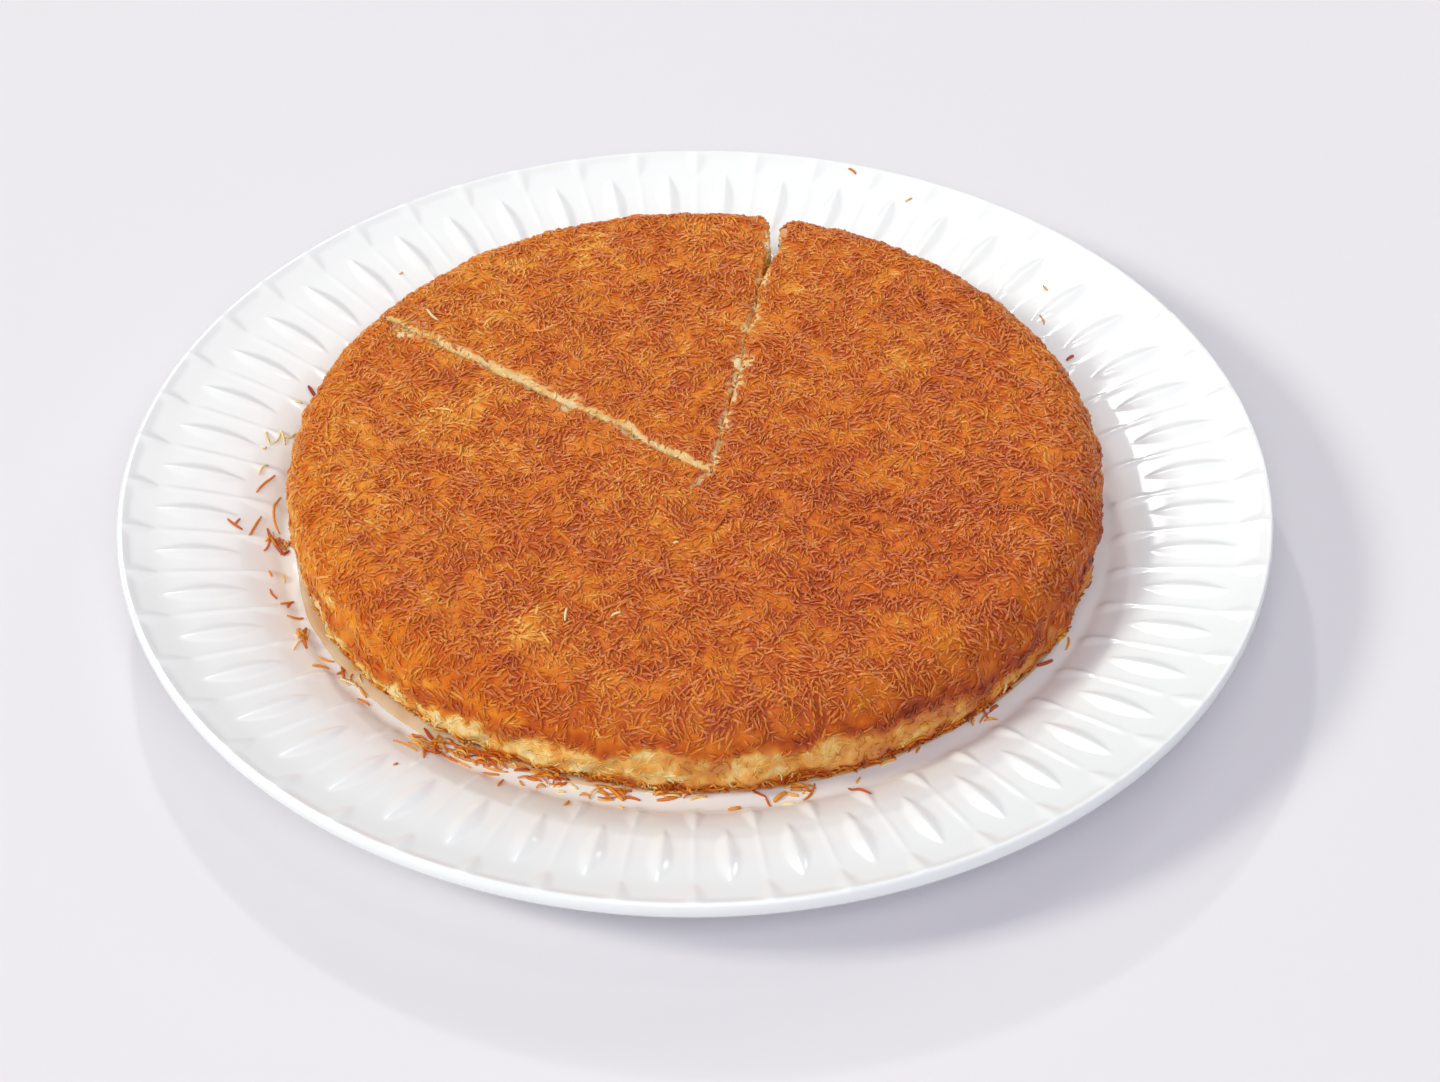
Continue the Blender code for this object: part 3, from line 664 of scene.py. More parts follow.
def overcut_depth(x, y):
    """How deep the short slot is where the knife ran past the meeting point."""
    run = Vector(OVERCUT_END) - Vector(MEET)
    spot = Vector((x, y)) - Vector(MEET)
    along = spot.dot(run) / run.length_squared
    across = abs(spot.cross(run)) / run.length + 0.5 * rough(x, y, 0, 2.0, 31)
    if not -0.1 < along < 1.0:
        return 0.0
    half = OVERCUT_HALF * (1.15 - 0.75 * along)
    return OVERCUT_DEPTH * (1 - 0.6 * along) * between(across, half + 0.35, half - 0.55)


def top_height(x, y):
    """Crust height above the base at a plan point, domed a little and roughened."""
    u, v = x - CAKE_X, y - CAKE_Y
    dome = -DOME * (math.hypot(u, v) / CAKE_R) ** 4
    bumps = TOP_ROUGH * (rough(u, v, 0, 9.0, 1) + 0.8 * rough(u, v, 0, 4.3, 2))
    return CAKE_H + dome + bumps + TOP_GRAIN * rough(u, v, 0, 1.9, 5)


def crust_edge(angle):
    """Height at which the browned crust ends and the fuzzy pale side begins."""
    x, y = PATTERN_R * math.cos(angle), PATTERN_R * math.sin(angle)
    edge = 8.5 + 4.8 * bearing_weight(angle, 272, 50) + 2.0 * rough(x, y, 0, 17.0, 41)
    return edge + 3.0 * rough(x, y, 0, 6.0, 42) + 1.6 * rough(x, y, 0, 2.4, 43)


def tuft(x, y):
    """Where shreds lie thick, 0 to 1."""
    return between(rough(x, y, 0, 5.5, 91) + 0.7 * rough(x, y, 0, 2.6, 92), -0.34, 0.22)


def bearing_weight(angle, middle, width):
    """1 at a bearing in degrees, falling to 0 at width away."""
    gap = (math.degrees(angle) - middle + 180) % 360 - 180
    return between(abs(gap), width, width * 0.3)


def top_bake(x, y):
    """How brown the crust is at a plan point, 0 to 1; darker where shreds lie thick, partly as painted shade
    in their gaps.
    """
    value = 0.44 + 0.0005 * (x - y) + 0.06 * rough(x, y, 0, 26.0, 51) + 0.07 * rough(x, y, 0, 9.0, 52)
    # Darker where shreds lie thick: partly redder crust, partly painted shade in the gaps between them.
    value += 0.08 * rough(x, y, 0, 4.0, 53) + 0.08 * (tuft(x, y) - 0.5)
    for px, py, radius, change in PATCHES:
        far = math.hypot(x - px, y - py) / radius + 0.5 * rough(x, y, 0, 3.5, 54)
        value += PATCH_DEPTH * change * between(far, 1.5, 0.2)
    return value


def side_bake(angle, height):
    """How brown the side is at a bearing and a height above the base; the darker right and front are partly
    painted shade.
    """
    x, y = PATTERN_R * math.cos(angle), PATTERN_R * math.sin(angle)
    mottle = 0.22 * rough(x, y, height, 5.0, 61) + 0.16 * rough(x, y, height, 2.2, 62)
    edge = crust_edge(angle)
    # Darker towards the right and the front: partly browner crust, partly painted shade.
    browner_and_shaded = max(bearing_weight(angle, 322, 66), 0.4 * bearing_weight(angle, 270, 40))
    left = bearing_weight(angle, 186, 50)
    patchy = 0.4 + 0.6 * between(rough(x, y, 0, 12.0, 63), -0.3, 0.2)
    band = between(height, edge + 6.5, edge + 3.5) * patchy
    crust = 0.40 + 0.21 * browner_and_shaded + 0.20 * band - 0.10 * left + mottle
    drips = 0.26 * between(rough(x, y, 0.35 * height, 4.5, 64), 0.02, 0.34)
    drips *= between(height, edge - 8, edge - 1)
    foot = between(height + 2.4 * rough(x, y, 0, 5.0, 65), 5.2, 2.4)
    pale = 0.02 + 0.27 * browner_and_shaded + 0.10 * left + 1.0 * mottle + 0.36 * foot + drips
    return pale + (crust - pale) * between(height, edge - 1.8, edge + 2.4)


class Body:
    """Points, faces and masks of one cut piece of the disc, between two faces of the cuts."""

    def __init__(self, apex, first, last):
        self.apex, self.walls = apex, (first, last)
        self.points, self.faces = [], []
        self.masks = {name: [] for name in ("bake", "crumb", "on_top", "on_side", "on_cut", "at_foot", "nib")}

    def add(self, x, y, z, **masks):
        self.points.append((x, y, BASE_Z + z))
        for name, values in self.masks.items():
            values.append(masks.get(name, 0.0))
        return len(self.points) - 1

    def torn_at(self, x, y):
        """How far the crust is torn away beside the cuts at a plan point, 0 to 1."""
        torn = between(overcut_depth(x, y), 0.15, 0.7)
        u, v = x - MEET[0], y - MEET[1]
        lumps = between(rough(x, y, 0, 6.0, 72), -0.2, 0.15)
        for cut, side in self.walls:
            cosine, sine = math.cos(math.radians(cut)), math.sin(math.radians(cut))
            along, across = u * cosine + v * sine, abs(v * cosine - u * sine) + 0.7 * rough(x, y, 0, 2.4, 71)
            lump = between(rough(along, 0, 0, 7.0, 73), -0.05, 0.35)
            wide, always = 0.9 + 1.9 * lump, 0.15
            if cut == LEFT_CUT:
                wide, always = 1.2 + 2.0 * lump + 1.6 * between(along, 86, 102), 0.35
            else:
                worn = between(along, 101, 110)
                wide, always = wide + 2.4 * worn, always + 0.5 * worn
            if along > 0:
                torn = max(torn, between(across, wide + 0.8, wide) * (always + (1 - always) * lumps))
        return torn

    def add_top(self, x, y):
        slot, torn = overcut_depth(x, y), self.torn_at(x, y)
        z = min(top_height(x, y) - slot - 0.5 * torn, CEILING - BASE_Z - TOP_ROOM)
        thick = tuft(x, y)
        return self.add(x, y, z, bake=top_bake(x, y), crumb=torn, on_cut=torn,
                        on_top=(1 - torn) * (0.5 + 0.5 * thick), nib=(1 - torn) * (0.75 - 0.35 * thick))

    def add_side(self, angle, r, height, ragged):
        x, y = r * math.cos(angle), r * math.sin(angle)
        push = SIDE_ROUGH * ragged * (rough(x, y, height, 8.0, 3) + 0.9 * rough(x, y, height, 3.7, 4))
        crust = between(height, crust_edge(angle) - 1.5, crust_edge(angle) + 1.5)
        push += 0.22 * rough(x, y, height, 1.7, 6) + 0.4 * (crust - 0.5) * between(height, 22, 15)
        inward = UNDERCUT * bearing_weight(angle, 243, 32)
        push -= inward * between(height, 5.0, 0.0)
        wide = (r + push) / r
        lift = 0.6 * rough(x, y, height, 4.3, 7) * between(height, 12, 22)
        top_share = between(height, 16, 22)
        clear = between(height, 0.0, 0.4)
        x, y = x * wide + CAKE_X, y * wide + CAKE_Y
        bake = top_share * top_bake(x, y) + (1 - top_share) * side_bake(angle, height)
        return self.add(x, y, height + lift, bake=bake, crumb=0.2 * (1 - crust) * between(height, 2.0, 4.5),
                        on_top=crust * (0.1 + 0.4 * tuft(x, y) + 0.5 * top_share),
                        nib=0.6 * crust * top_share, on_side=(1 - 0.7 * crust) * clear,
                        at_foot=between(height, 4.8, 2.6) * clear)

    def row_angles(self, r, level):
        """Bearings from the disc's middle at which the two walls pass a radius."""
        ends = []
        for cut, side in self.walls:
            x, y = cut_point(cut, side, along_at(cut, side, r, level), level)
            ends.append(math.atan2(y - CAKE_Y, x - CAKE_X))
        while ends[1] < ends[0]:
            ends[1] += TURN
        return ends

    def build(self):
        """The top in rows round the tip, the side in rows below it, the two cut faces and the base."""
        apex = self.add_top(*self.apex)
        start, end = self.row_angles(FLAT_R, CAKE_H)
        alongs = [along_at(cut, side, FLAT_R, CAKE_H) for cut, side in self.walls]
        rows, row_alongs = [[apex]], [(0.0, 0.0)]
        steps = round(max(alongs) / GRID)
        arc = (end - start) * FLAT_R
        corners = on_flat_edge(start), on_flat_edge(end)
        tip = Vector(self.apex)
        for k in range(1, steps + 1):
            s = k / steps
            count = max(6, round(arc * s / GRID))
            drift = []
            for (cut, side), along, far in zip(self.walls, alongs, corners):
                drift.append(Vector(cut_point(cut, side, along * s, CAKE_H)) - tip.lerp(far, s))
            row = []
            for i in range(count + 1):
                angle = start + (end - start) * i / count
                spot = tip.lerp(on_flat_edge(angle), s) + drift[0] * between(angle - start, WANDER_FADE, 0.0)
                spot += drift[1] * between(end - angle, WANDER_FADE, 0.0)
                row.append(self.add_top(spot.x, spot.y))
            rows.append(row)
            row_alongs.append((alongs[0] * s, alongs[1] * s))
        for r, z, ragged in side_profile():
            start, end = self.row_angles(r, z)
            count = round((end - start) * r / GRID)
            bearings = [start + (end - start) * i / count for i in range(count + 1)]
            rows.append([self.add_side(angle, r, z, ragged) for angle in bearings])
            row_alongs.append(tuple(along_at(cut, side, r, z) for cut, side in self.walls))
        for first, second in zip(rows, rows[1:]):
            zip_rows(self.faces, second, first)
        chains = [self.add_wall(which, rows, row_alongs) for which in (0, 1)]
        outline = chains[0] + rows[-1][1:-1] + chains[1][:0:-1]
        self.faces.append(tuple(reversed(outline)))
        return self

    def add_wall(self, which, rows, row_alongs):
        """The cut face under one end of the rows. Returns its bottom chain from the tip outwards."""
        cut, side = self.walls[which]
        columns, last = [], len(rows) - 1
        foot = row_alongs[-1][which]
        for k, row in enumerate(rows):
            top = row[0 if which == 0 else -1]
            if which == 1 and k == 0:
                columns.append(self.tip_column)
                continue
            x0, y0, z0 = self.points[top]
            z0 -= BASE_Z
            column = [top]
            if k == last:
                column = [top] * (WALL_ROWS + 1)
            else:
                for level in range(1, WALL_ROWS + 1):
                    t = (level / WALL_ROWS) ** WALL_SPREAD
                    along = row_alongs[k][which] * (1 - t) + foot * k / last * t
                    height = z0 * (1 - t)
                    x, y = self.apex if k == 0 else cut_point(cut, side, along, height)
                    # Orange patches on the back cut's face: partly toasted crumb, partly painted shade warmed
                    # by light bounced inside the cut.
                    toast_and_cut_shade = 0.0
                    if cut == BACK_CUT:
                        toast_and_cut_shade = between(rough(along, 0, 0, 9.0, 75), 0.28, -0.08) * between(along, 98, 90)
                    bake = 0.06 + 0.30 * toast_and_cut_shade + 0.5 * between(height, 1.6, 0.0)
                    column.append(self.add(x, y, height, bake=bake, crumb=1 - 0.85 * toast_and_cut_shade,
                                           on_cut=between(height, 8, 18)))
            columns.append(column)
        if which == 0:
            self.tip_column = columns[0]
        for first, second in zip(columns, columns[1:]):
            for level in range(WALL_ROWS):
                quad = [first[level], second[level], second[level + 1], first[level + 1]]
                quad = [v for i, v in enumerate(quad) if v not in quad[:i]]
                if len(quad) > 2:
                    self.faces.append(tuple(quad if which else reversed(quad)))
        chain = [column[-1] for column in columns]
        return chain[:-1] + [rows[-1][0 if which == 0 else -1]]


def make_body(name, node, apex, first, last, finish):
    body = Body(apex, first, last).build()
    mesh = make_mesh(name, body.points, body.faces, **body.masks)
    face_outwards(mesh)
    mesh.materials.append(finish)
    item = add_object(name, mesh)
    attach(item, "root")
    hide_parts(node)
    return item


# Strands

STRAND_INPUTS = (("Surface", "Geometry", None), ("Where", "Float", 1.0),
                 ("Per Square Centimetre", "Float", 20.0), ("Spacing", "Float", 0.001), ("Seed", "Int", 1),
                 ("Shortest", "Float", 0.003), ("Longest", "Float", 0.008), ("Thickness", "Float", 0.0008),
                 ("Curl", "Float", 0.2), ("Lift", "Float", 0.0001), ("Lift Spread", "Float", 0.0002),
                 ("End Sink", "Float", 0.0003), ("Stick Out", "Float", 0.0), ("Grain", "Float", 0.5),
                 ("Cluster", "Float", 130.0), ("Points", "Int", 5), ("Sides", "Int", 4),
                 ("Ceiling", "Float", 1.0), ("Finish", "Material", None))


def strands_tree():
    """Lays bent strands on a surface: spread by a mask, run by a local grain, bedded in to a depth."""
    tree, given, result = new_group("strands on a surface", "GeometryNodeTree", STRAND_INPUTS,
                                    (("Geometry", "Geometry"),))

    def draw(low, high, number):
        seed = maths(tree, "ADD", given["Seed"], float(number * 17))
        return put(tree, "FunctionNodeRandomValue", {2: low, 3: high, 8: seed}, data_type="FLOAT").outputs[1]

    def keep(flow, label, value, kind="FLOAT"):
        return put(tree, "GeometryNodeStoreNamedAttribute", {"Geometry": flow, "Name": label, "Value": value},
                   data_type=kind, domain="POINT").outputs[0]

    def kept(label, kind="FLOAT"):
        return put(tree, "GeometryNodeInputNamedAttribute", {"Name": label}, data_type=kind).outputs[0]

    density = maths(tree, "MULTIPLY", given["Per Square Centimetre"], 1e4)
    spread = put(tree, "GeometryNodeDistributePointsOnFaces",
                 {"Mesh": given["Surface"], "Distance Min": given["Spacing"], "Density Max": density,
                  "Density Factor": given["Where"], "Seed": given["Seed"]}, distribute_method="POISSON")
    place = put(tree, "GeometryNodeInputPosition").outputs[0]
    drift = put(tree, "ShaderNodeTexNoise", {"Vector": place, "Scale": given["Cluster"], "Detail": 1.0})
    warped = vectors(tree, "ADD", place, scaled(tree, drift.outputs["Color"], 0.003))
    tuft = put(tree, "ShaderNodeTexVoronoi", {"Vector": warped, "Scale": given["Cluster"]}).outputs["Color"]
    tuft_turn = put(tree, "ShaderNodeSeparateXYZ", {0: tuft}).outputs[0]
    swing = maths(tree, "MULTIPLY", draw(-math.pi, math.pi, 1), maths(tree, "SUBTRACT", 1.0, given["Grain"]))
    heading = maths(tree, "ADD", maths(tree, "MULTIPLY", tuft_turn, TURN), swing)
    short_bias = maths(tree, "POWER", draw(0.0, 1.0, 2), 2.2)
    span = maths(tree, "SUBTRACT", given["Longest"], given["Shortest"])
    length = maths(tree, "MULTIPLY_ADD", short_bias, span, given["Shortest"])
    bend = maths(tree, "MULTIPLY", draw(-1.0, 1.0, 3), given["Curl"])
    height = maths(tree, "MULTIPLY_ADD", draw(-1.0, 1.0, 4), given["Lift Spread"], given["Lift"])
    thick = maths(tree, "MULTIPLY", draw(0.75, 1.2, 5), given["Thickness"])
    flow = spread.outputs["Points"]
    flow = keep(flow, "strand_root", place, "FLOAT_VECTOR")
    flow = keep(flow, "strand_up", spread.outputs["Normal"], "FLOAT_VECTOR")
    for label, value in (("strand_heading", heading), ("strand_length", length), ("strand_bend", bend),
                         ("strand_height", height), ("strand_thick", thick), ("tone", draw(0.0, 1.0, 6)),
                         ("strand_stick", maths(tree, "MULTIPLY", draw(0.0, 1.0, 7), given["Stick Out"])),
                         ("strand_id", put(tree, "GeometryNodeInputIndex").outputs[0])):
        flow = keep(flow, label, value)
    copies = put(tree, "GeometryNodeDuplicateElements", {"Geometry": flow, "Amount": given["Points"]},
                 domain="POINT")
    last = maths(tree, "SUBTRACT", given["Points"], 1.0)
    share = maths(tree, "DIVIDE", copies.outputs["Duplicate Index"], last)
    flow = keep(copies.outputs["Geometry"], "strand_t", maths(tree, "MULTIPLY_ADD", share, 2.0, -1.0))

    t = kept("strand_t")
    t2 = maths(tree, "MULTIPLY", t, t)
    up = kept("strand_up", "FLOAT_VECTOR")
    first = vectors(tree, "NORMALIZE", vectors(tree, "CROSS_PRODUCT", up, (0.9, 0.3, 0.35)))
    second = vectors(tree, "CROSS_PRODUCT", up, first)
    turn = kept("strand_heading")
    cosine, sine = maths(tree, "COSINE", turn), maths(tree, "SINE", turn)
    run = vectors(tree, "ADD", scaled(tree, first, cosine), scaled(tree, second, sine))
    side = vectors(tree, "CROSS_PRODUCT", up, run)
    size = kept("strand_length")
    forward = maths(tree, "MULTIPLY", maths(tree, "MULTIPLY", size, 0.5), t)
    bow = maths(tree, "MULTIPLY", size, kept("strand_bend"))
    bow = maths(tree, "MULTIPLY", bow, maths(tree, "SUBTRACT", 0.5, t2))
    flat = vectors(tree, "ADD", kept("strand_root", "FLOAT_VECTOR"), scaled(tree, run, forward))
    flat = vectors(tree, "ADD", flat, scaled(tree, side, bow))

    def nearest(value):
        return put(tree, "GeometryNodeSampleNearestSurface", {"Mesh": given["Surface"], "Value": value,
                                                              "Sample Position": flat},
                   data_type="FLOAT_VECTOR").outputs[0]

    normal = nearest(put(tree, "GeometryNodeInputNormal").outputs[0])
    sink = maths(tree, "MULTIPLY", maths(tree, "MULTIPLY", t2, t2), given["End Sink"])
    rise = maths(tree, "SUBTRACT", kept("strand_height"), sink)
    free = maths(tree, "MAXIMUM", maths(tree, "MULTIPLY_ADD", t, 0.6, 0.4), 0.0)
    rise = maths(tree, "MULTIPLY_ADD", maths(tree, "MULTIPLY", free, free), kept("strand_stick"), rise)
    spot = vectors(tree, "ADD", nearest(place), scaled(tree, normal, rise))
    parts = put(tree, "ShaderNodeSeparateXYZ", {0: spot}).outputs
    capped = maths(tree, "MINIMUM", parts[2], given["Ceiling"])
    spot = put(tree, "ShaderNodeCombineXYZ", {0: parts[0], 1: parts[1], 2: capped}).outputs[0]
    moved = put(tree, "GeometryNodeSetPosition", {"Geometry": flow, "Position": spot})
    group = put(tree, "FunctionNodeFloatToInt", {0: kept("strand_id")})
    curves = put(tree, "GeometryNodePointsToCurves",
                 {"Points": moved.outputs[0], "Curve Group ID": group.outputs[0], "Weight": t})
    taper = maths(tree, "MULTIPLY_ADD", maths(tree, "MULTIPLY", t2, t2), -0.4, 1.0)
    radius = maths(tree, "MULTIPLY", maths(tree, "MULTIPLY", kept("strand_thick"), 0.5), taper)
    ring = put(tree, "GeometryNodeCurvePrimitiveCircle", {"Resolution": given["Sides"], "Radius": 1.0})
    tubes = put(tree, "GeometryNodeCurveToMesh",
                {"Curve": curves.outputs[0], "Profile Curve": ring.outputs[0], "Scale": radius,
                 "Fill Caps": True})
    smooth = put(tree, "GeometryNodeSetShadeSmooth", {"Geometry": tubes.outputs[0]})
    real = put(tree, "GeometryNodeRealizeInstances", {"Geometry": smooth.outputs[0]})
    done = put(tree, "GeometryNodeSetMaterial", {"Geometry": real.outputs[0], "Material": given["Finish"]})
    tree.links.new(done.outputs[0], result.inputs["Geometry"])
    return tree


# Kinds of strand, with lengths in metres and the mask that each follows
STRAND_KINDS = {
    "shreds": {"Where": "on_top", "Per Square Centimetre": 26.0, "Spacing": 0.0017, "Seed": 3,
               "Shortest": 0.0020, "Longest": 0.0050, "Thickness": 0.00086, "Curl": 0.05, "Lift": 0.00030,
               "Lift Spread": 0.00012, "End Sink": 0.0003, "Grain": 0.72, "Cluster": 200.0, "Points": 4,
               "Sides": 4},
    "bits": {"Where": "on_top", "Per Square Centimetre": 130.0, "Spacing": 0.0010, "Seed": 11,
             "Shortest": 0.0015, "Longest": 0.0032, "Thickness": 0.00080, "Curl": 0.03, "Lift": 0.00022,
             "Lift Spread": 0.00010, "End Sink": 0.0001, "Grain": 0.82, "Cluster": 240.0, "Points": 3,
             "Sides": 3},
    "nibs": {"Where": "nib", "Per Square Centimetre": 160.0, "Spacing": 0.0010, "Seed": 17,
             "Shortest": 0.0010, "Longest": 0.0022, "Thickness": 0.00064, "Curl": 0.04, "Lift": 0.00012,
             "Lift Spread": 0.00010, "End Sink": 0.0001, "Grain": 0.70, "Cluster": 260.0, "Points": 3,
             "Sides": 3},
    "fuzz": {"Where": "on_side", "Per Square Centimetre": 60.0, "Spacing": 0.001, "Seed": 23,
             "Shortest": 0.0018, "Longest": 0.0045, "Thickness": 0.00046, "Curl": 0.25, "Lift": 0.0,
             "Lift Spread": 0.0002, "End Sink": 0.0001, "Stick Out": 0.0005, "Grain": 0.2,
             "Cluster": 160.0, "Points": 4, "Sides": 3},
    "crumbs": {"Where": "on_cut", "Per Square Centimetre": 60.0, "Spacing": 0.0010, "Seed": 37,
               "Shortest": 0.0008, "Longest": 0.0026, "Thickness": 0.00090, "Curl": 0.3, "Lift": 0.0,
               "Lift Spread": 0.0002, "End Sink": 0.0002, "Stick Out": 0.0002, "Grain": 0.1,
               "Cluster": 160.0, "Points": 4, "Sides": 3},
    "fringe": {"Where": "at_foot", "Per Square Centimetre": 120.0, "Spacing": 0.0007, "Seed": 41,
               "Shortest": 0.0016, "Longest": 0.0040, "Thickness": 0.0007, "Curl": 0.2, "Lift": 0.0002,
               "Lift Spread": 0.0003, "End Sink": 0.0, "Stick Out": 0.0008, "Grain": 0.3,
               "Cluster": 160.0, "Points": 4, "Sides": 3},
}


def lay_strands(host, prefix, tree, finishes):
    """One piece for each kind of strand on one pastry body."""
    for kind, settings in STRAND_KINDS.items():
        settings = dict(settings, Finish=finishes[kind], Ceiling=(CEILING - STRAND_ROOM) * MM)
        settings["Seed"] += len(prefix)
        piece = grown(prefix + "_" + kind, host.data.copy(), tree, settings)
        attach(piece, "root")


# Loose shreds, and syrup with painted shadow and reflection

def plate_height(x, y):
    """Upper face of the plate at a plan point."""
    r = math.hypot(x, y)
    if r < WELL_R:
        return FLOOR_Z
    return rim_height((math.atan2(y, x) - LEAF_PHASE) * LEAVES / TURN, r)


def off_foot(spot):
    """The nearest plan point outside the pastry's foot."""
    reach = math.hypot(*spot)
    return spot * (FOOT_R / reach) if reach < FOOT_R else spot


def crust_height(x, y):
    """Upper face of the crust's strands at a plan point."""
    return BASE_Z + top_height(x, y) + STRAND_TOP


def shred(bm, layers, surface, middle, ends, thickness, bend, brown, rng):
    """One bent shred lying on a surface, its middle raised: a tube through seven points that follow it."""
    start, end = Vector(ends[0]), Vector(ends[1])
    side = Vector((start.y - end.y, end.x - start.x)) * bend
    turns, sides = 6, 5
    rings = []
    for i in range(turns + 1):
        t = i / turns
        spot = start.lerp(end, t) + side * (4 * t * (1 - t))
        if surface == plate_height:
            spot = off_foot(spot)
        radius = thickness / 2 * (1 - 0.35 * abs(2 * t - 1) ** 3)
        z = surface(*spot) + radius * 0.8 + middle * (4 * t * (1 - t))
        run = (end - start).normalized() if (end - start).length else Vector((1, 0))
        ring = []
        for k in range(sides):
            a = TURN * k / sides
            out = Vector((-run.y, run.x)) * math.cos(a) * radius
            point = spot.x + out.x, spot.y + out.y, z + radius * math.sin(a)
            ring.append(bm.verts.new([value * MM for value in point]))
        rings.append(ring)
    for first, second in zip(rings, rings[1:]):
        for k in range(sides):
            bm.faces.new((first[k], first[(k + 1) % sides], second[(k + 1) % sides], second[k]))
    bm.faces.new(list(reversed(rings[0])))
    bm.faces.new(rings[-1])
    tone = rng.random()
    for ring in rings:
        for vert in ring:
            vert[layers[0]], vert[layers[1]] = brown, tone


def add_loose_shreds(finish):
    rng = random.Random(SHRED_SEED)
    bm = bmesh.new()
    layers = bm.verts.layers.float.new("bake"), bm.verts.layers.float.new("tone")
    for x0, y0, x1, y1, thickness, brown in LOOSE_SHREDS:
        bend = rng.uniform(-0.12, 0.12)
        shred(bm, layers, plate_height, 0.0, ((x0, y0), (x1, y1)), 0.85 * thickness, bend, brown, rng)
    for x0, y0, x1, y1, thickness, brown in TOP_SHREDS:
        bend = rng.uniform(-0.1, 0.1)
        shred(bm, layers, crust_height, 0.0, ((x0, y0), (x1, y1)), thickness, bend, brown, rng)
    for x, y, spread, count, bearing, brown in SHRED_HEAPS:
        for i in range(count):
            spot = Vector((x, y)) + Vector((rng.gauss(0, spread * 0.6), rng.gauss(0, spread * 0.3)))
            a = math.radians(bearing) + rng.gauss(0, 0.5)
            half = Vector((math.cos(a), math.sin(a))) * rng.uniform(0.8, 2.6)
            middle = rng.uniform(0, 0.9)
            thickness = rng.uniform(0.4, 0.8)
            bend = rng.uniform(-0.16, 0.16)
            bake = brown + rng.uniform(-0.3, 0.05)
            shred(bm, layers, plate_height, middle, (spot - half, spot + half), thickness, bend, bake, rng)
    bmesh.ops.recalc_face_normals(bm, faces=bm.faces)
    mesh = bpy.data.meshes.new("loose_shreds")
    bm.to_mesh(mesh)
    bm.free()
    mesh.shade_smooth()
    mesh.materials.append(finish)
    item = add_object("loose_shreds", mesh)
    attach(item, "root")


def syrup_shade_reflection_finish():
    made, tree, shader = new_material("syrup_shade_reflection")
    cloud = ranged(tree, speckle(tree, 120.0, 2.0, 0.5), 0.3, 0.7)
    # Tan: partly syrup, partly the pastry's painted shadow and reflection in the glaze.
    tone = mixed(tree, cloud, (0.80, 0.46, 0.16, 1), (0.86, 0.60, 0.28, 1))
    tree.links.new(tone, shader.inputs["Base Color"])
    tree.links.new(ranged(tree, cloud, 0.0, 1.0, 0.62, 0.48), shader.inputs["Alpha"])
    shader.inputs["Roughness"].default_value = 0.08
    return made


def film_reach(angle):
    """Outer radius of the film of syrup and painted shadow and reflection at a bearing."""
    degrees = math.degrees(angle) % 360
    width = 0.0
    for (a0, w0), (a1, w1) in zip(FILM_WIDTHS, FILM_WIDTHS[1:]):
        if a0 <= degrees <= a1:
            width = w0 + (w1 - w0) * between(degrees, a0, a1)
    x, y = 100 * math.cos(angle), 100 * math.sin(angle)
    return WELL_R + width * (1 + 0.35 * rough(x, y, 0, 16.0, 81) + 0.12 * rough(x, y, 0, 5.0, 82))


def add_syrup_shade_reflection(finish):
    """A thin closed ring with a rounded outer edge, lying on the plate under the foot: partly syrup, partly
    the pastry's painted shadow and reflection.
    """
    points, faces = [], []
    for i in range(FILM_COLUMNS):
        a = TURN * i / FILM_COLUMNS
        reach = film_reach(a)
        for share, height in FILM_SECTION:
            r = FILM_INNER_R + (reach - FILM_INNER_R) * share
            x, y = r * math.cos(a), r * math.sin(a)
            points.append((x, y, plate_height(x, y) + FILM_DEPTH * height))
    n = len(FILM_SECTION)
    for i in range(FILM_COLUMNS):
        j = (i + 1) % FILM_COLUMNS
        for k in range(n):
            faces.append((i * n + k, i * n + (k + 1) % n, j * n + (k + 1) % n, j * n + k))
    mesh = make_mesh("syrup_shade_reflection_film", points, faces)
    face_outwards(mesh)
    mesh.materials.append(finish)
    item = add_object("syrup_shade_reflection_film", mesh)
    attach(item, "root")


# Stage

def aim(item, target):
    direction = Vector(target) - item.location
    item.rotation_euler = direction.to_track_quat("-Z", "Y").to_euler()


def studio_light(name, bearing, elevation, distance, size, power, colour, shines="all"):
    """A studio light at a bearing (0 is behind the plate, 90 on the left) and an elevation, in metres."""
    lamp = bpy.data.lights.new(name, "AREA")
    lamp.shape = "RECTANGLE"
    lamp.size, lamp.size_y = size
    lamp.energy, lamp.color = power, colour
    item = bpy.data.objects.new(name, lamp)
    bpy.context.scene.collection.objects.link(item)
    a, e = math.radians(bearing), math.radians(elevation)
    item.location = (-distance * math.cos(e) * math.sin(a), distance * math.cos(e) * math.cos(a),
                     distance * math.sin(e))
    aim(item, (0, 0, 0.02))
    item.visible_camera = False
    item.visible_glossy = shines != "matt"
    item.visible_diffuse = shines != "gloss"


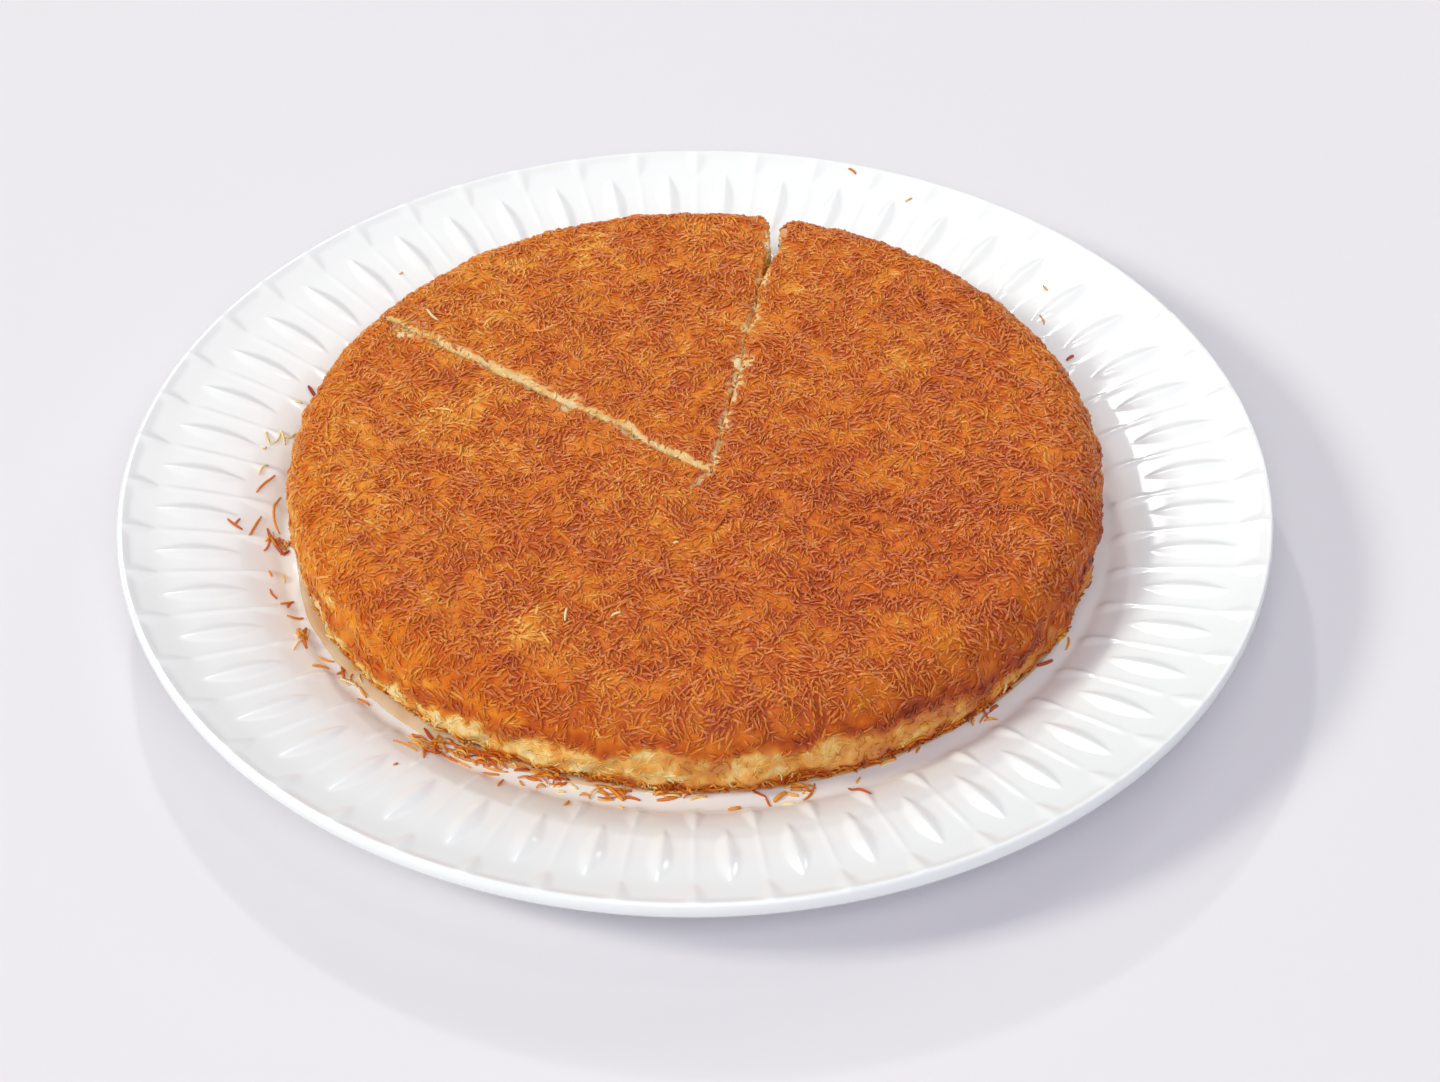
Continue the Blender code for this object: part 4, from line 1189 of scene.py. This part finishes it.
def make_stage():
    bm = bmesh.new()
    bmesh.ops.create_grid(bm, x_segments=8, y_segments=8, size=TABLE_HALF)
    mesh = bpy.data.meshes.new("table")
    bm.to_mesh(mesh)
    bm.free()
    mesh.materials.append(table_finish())
    add_object("table", mesh)
    world = bpy.data.worlds.new("studio")
    world.use_nodes = True
    background = world.node_tree.nodes["Background"]
    background.inputs["Color"].default_value = (*WORLD_COLOUR, 1)
    background.inputs["Strength"].default_value = WORLD_STRENGTH
    bpy.context.scene.world = world
    studio_light("lamp_behind", 14, 38, 2.2, (0.10, 0.10), 8.2, (1.0, 1.0, 0.88), shines="matt")
    studio_light("lamp_glints", 14, 42, 2.2, (0.40, 0.40), 6.0, (1.0, 1.0, 0.92), shines="gloss")
    studio_light("soft_box_left", 102, 36, 7.0, (1.5, 1.5), 250.0, (1.0, 1.0, 0.88), shines="matt")
    studio_light("box_overhead", 0, 84, 2.0, (0.32, 0.32), 1.2, (1.0, 1.0, 0.92), shines="matt")
    studio_light("strip_overhead", 0, 89, 2.0, (0.50, 0.50), 7.5, (1.0, 1.0, 0.96), shines="gloss")
    studio_light("soft_box_right", -50, 40, 1.4, (0.5, 0.5), 1.6, (1.0, 1.0, 0.95))
    studio_light("glint_right", -32, 27, 2.0, (0.5, 0.35), 2.6, (1.0, 1.0, 0.98), shines="gloss")
    studio_light("fill_from_camera", 180, 46, 3.5, (2.4, 1.6), 57.0, (0.98, 0.97, 0.99))
    studio_light("white_card_behind", 8, 57, 2.0, (2.2, 1.5), 7.0, (1.0, 1.0, 1.0), shines="gloss")
    studio_light("white_card_core", 8, 52, 2.0, (1.2, 0.9), 2.0, (1.0, 1.0, 1.0), shines="gloss")
    bpy.context.scene.view_settings.view_transform = "Standard"


def make_camera():
    lens = bpy.data.cameras.new("view")
    lens.lens, lens.sensor_width = LENS, SENSOR
    lens.clip_start = 0.05
    item = bpy.data.objects.new("view", lens)
    bpy.context.scene.collection.objects.link(item)
    e = math.radians(VIEW_ELEVATION)
    turn = Matrix.Rotation(math.pi / 2 - e, 4, "X")
    for degrees, axis in ((VIEW_PAN, "Y"), (VIEW_TILT, "X"), (VIEW_ROLL, "Z")):
        turn = turn @ Matrix.Rotation(-math.radians(degrees), 4, axis)
    place = Vector((0, -VIEW_DISTANCE * math.cos(e), VIEW_DISTANCE * math.sin(e) + RIM_Z)) * MM
    item.matrix_world = Matrix.Translation(place) @ turn
    bpy.context.scene.camera = item


def slice_tip():
    """Plan point of the slice's tip, midway between its two cut faces."""
    back = Vector(cut_point(BACK_CUT, 1, SLICE_SETBACK, CAKE_H))
    left = Vector(cut_point(LEFT_CUT, -1, SLICE_SETBACK, CAKE_H))
    return tuple((back + left) / 2)


def main():
    make_camera()
    make_stage()
    baked, crumb = baked_colour_group(), crumb_colour_group()
    make_plate(repeat_round_tree(), glaze_finish())
    body = body_finish(baked, crumb)
    rest = make_body("rest_body", "kunafa_rest", MEET, (LEFT_CUT, 1), (BACK_CUT, -1), body)
    piece = make_body("slice_body", "kunafa_slice", slice_tip(), (BACK_CUT, 1), (LEFT_CUT, -1), body)
    finishes = {kind: strand_finish(baked, *values) for kind, values in STRAND_FINISHES.items()}
    add_loose_shreds(finishes["loose"])
    add_syrup_shade_reflection(syrup_shade_reflection_finish())
    tree = strands_tree()
    lay_strands(rest, "rest", tree, finishes)
    lay_strands(piece, "slice", tree, finishes)


main()
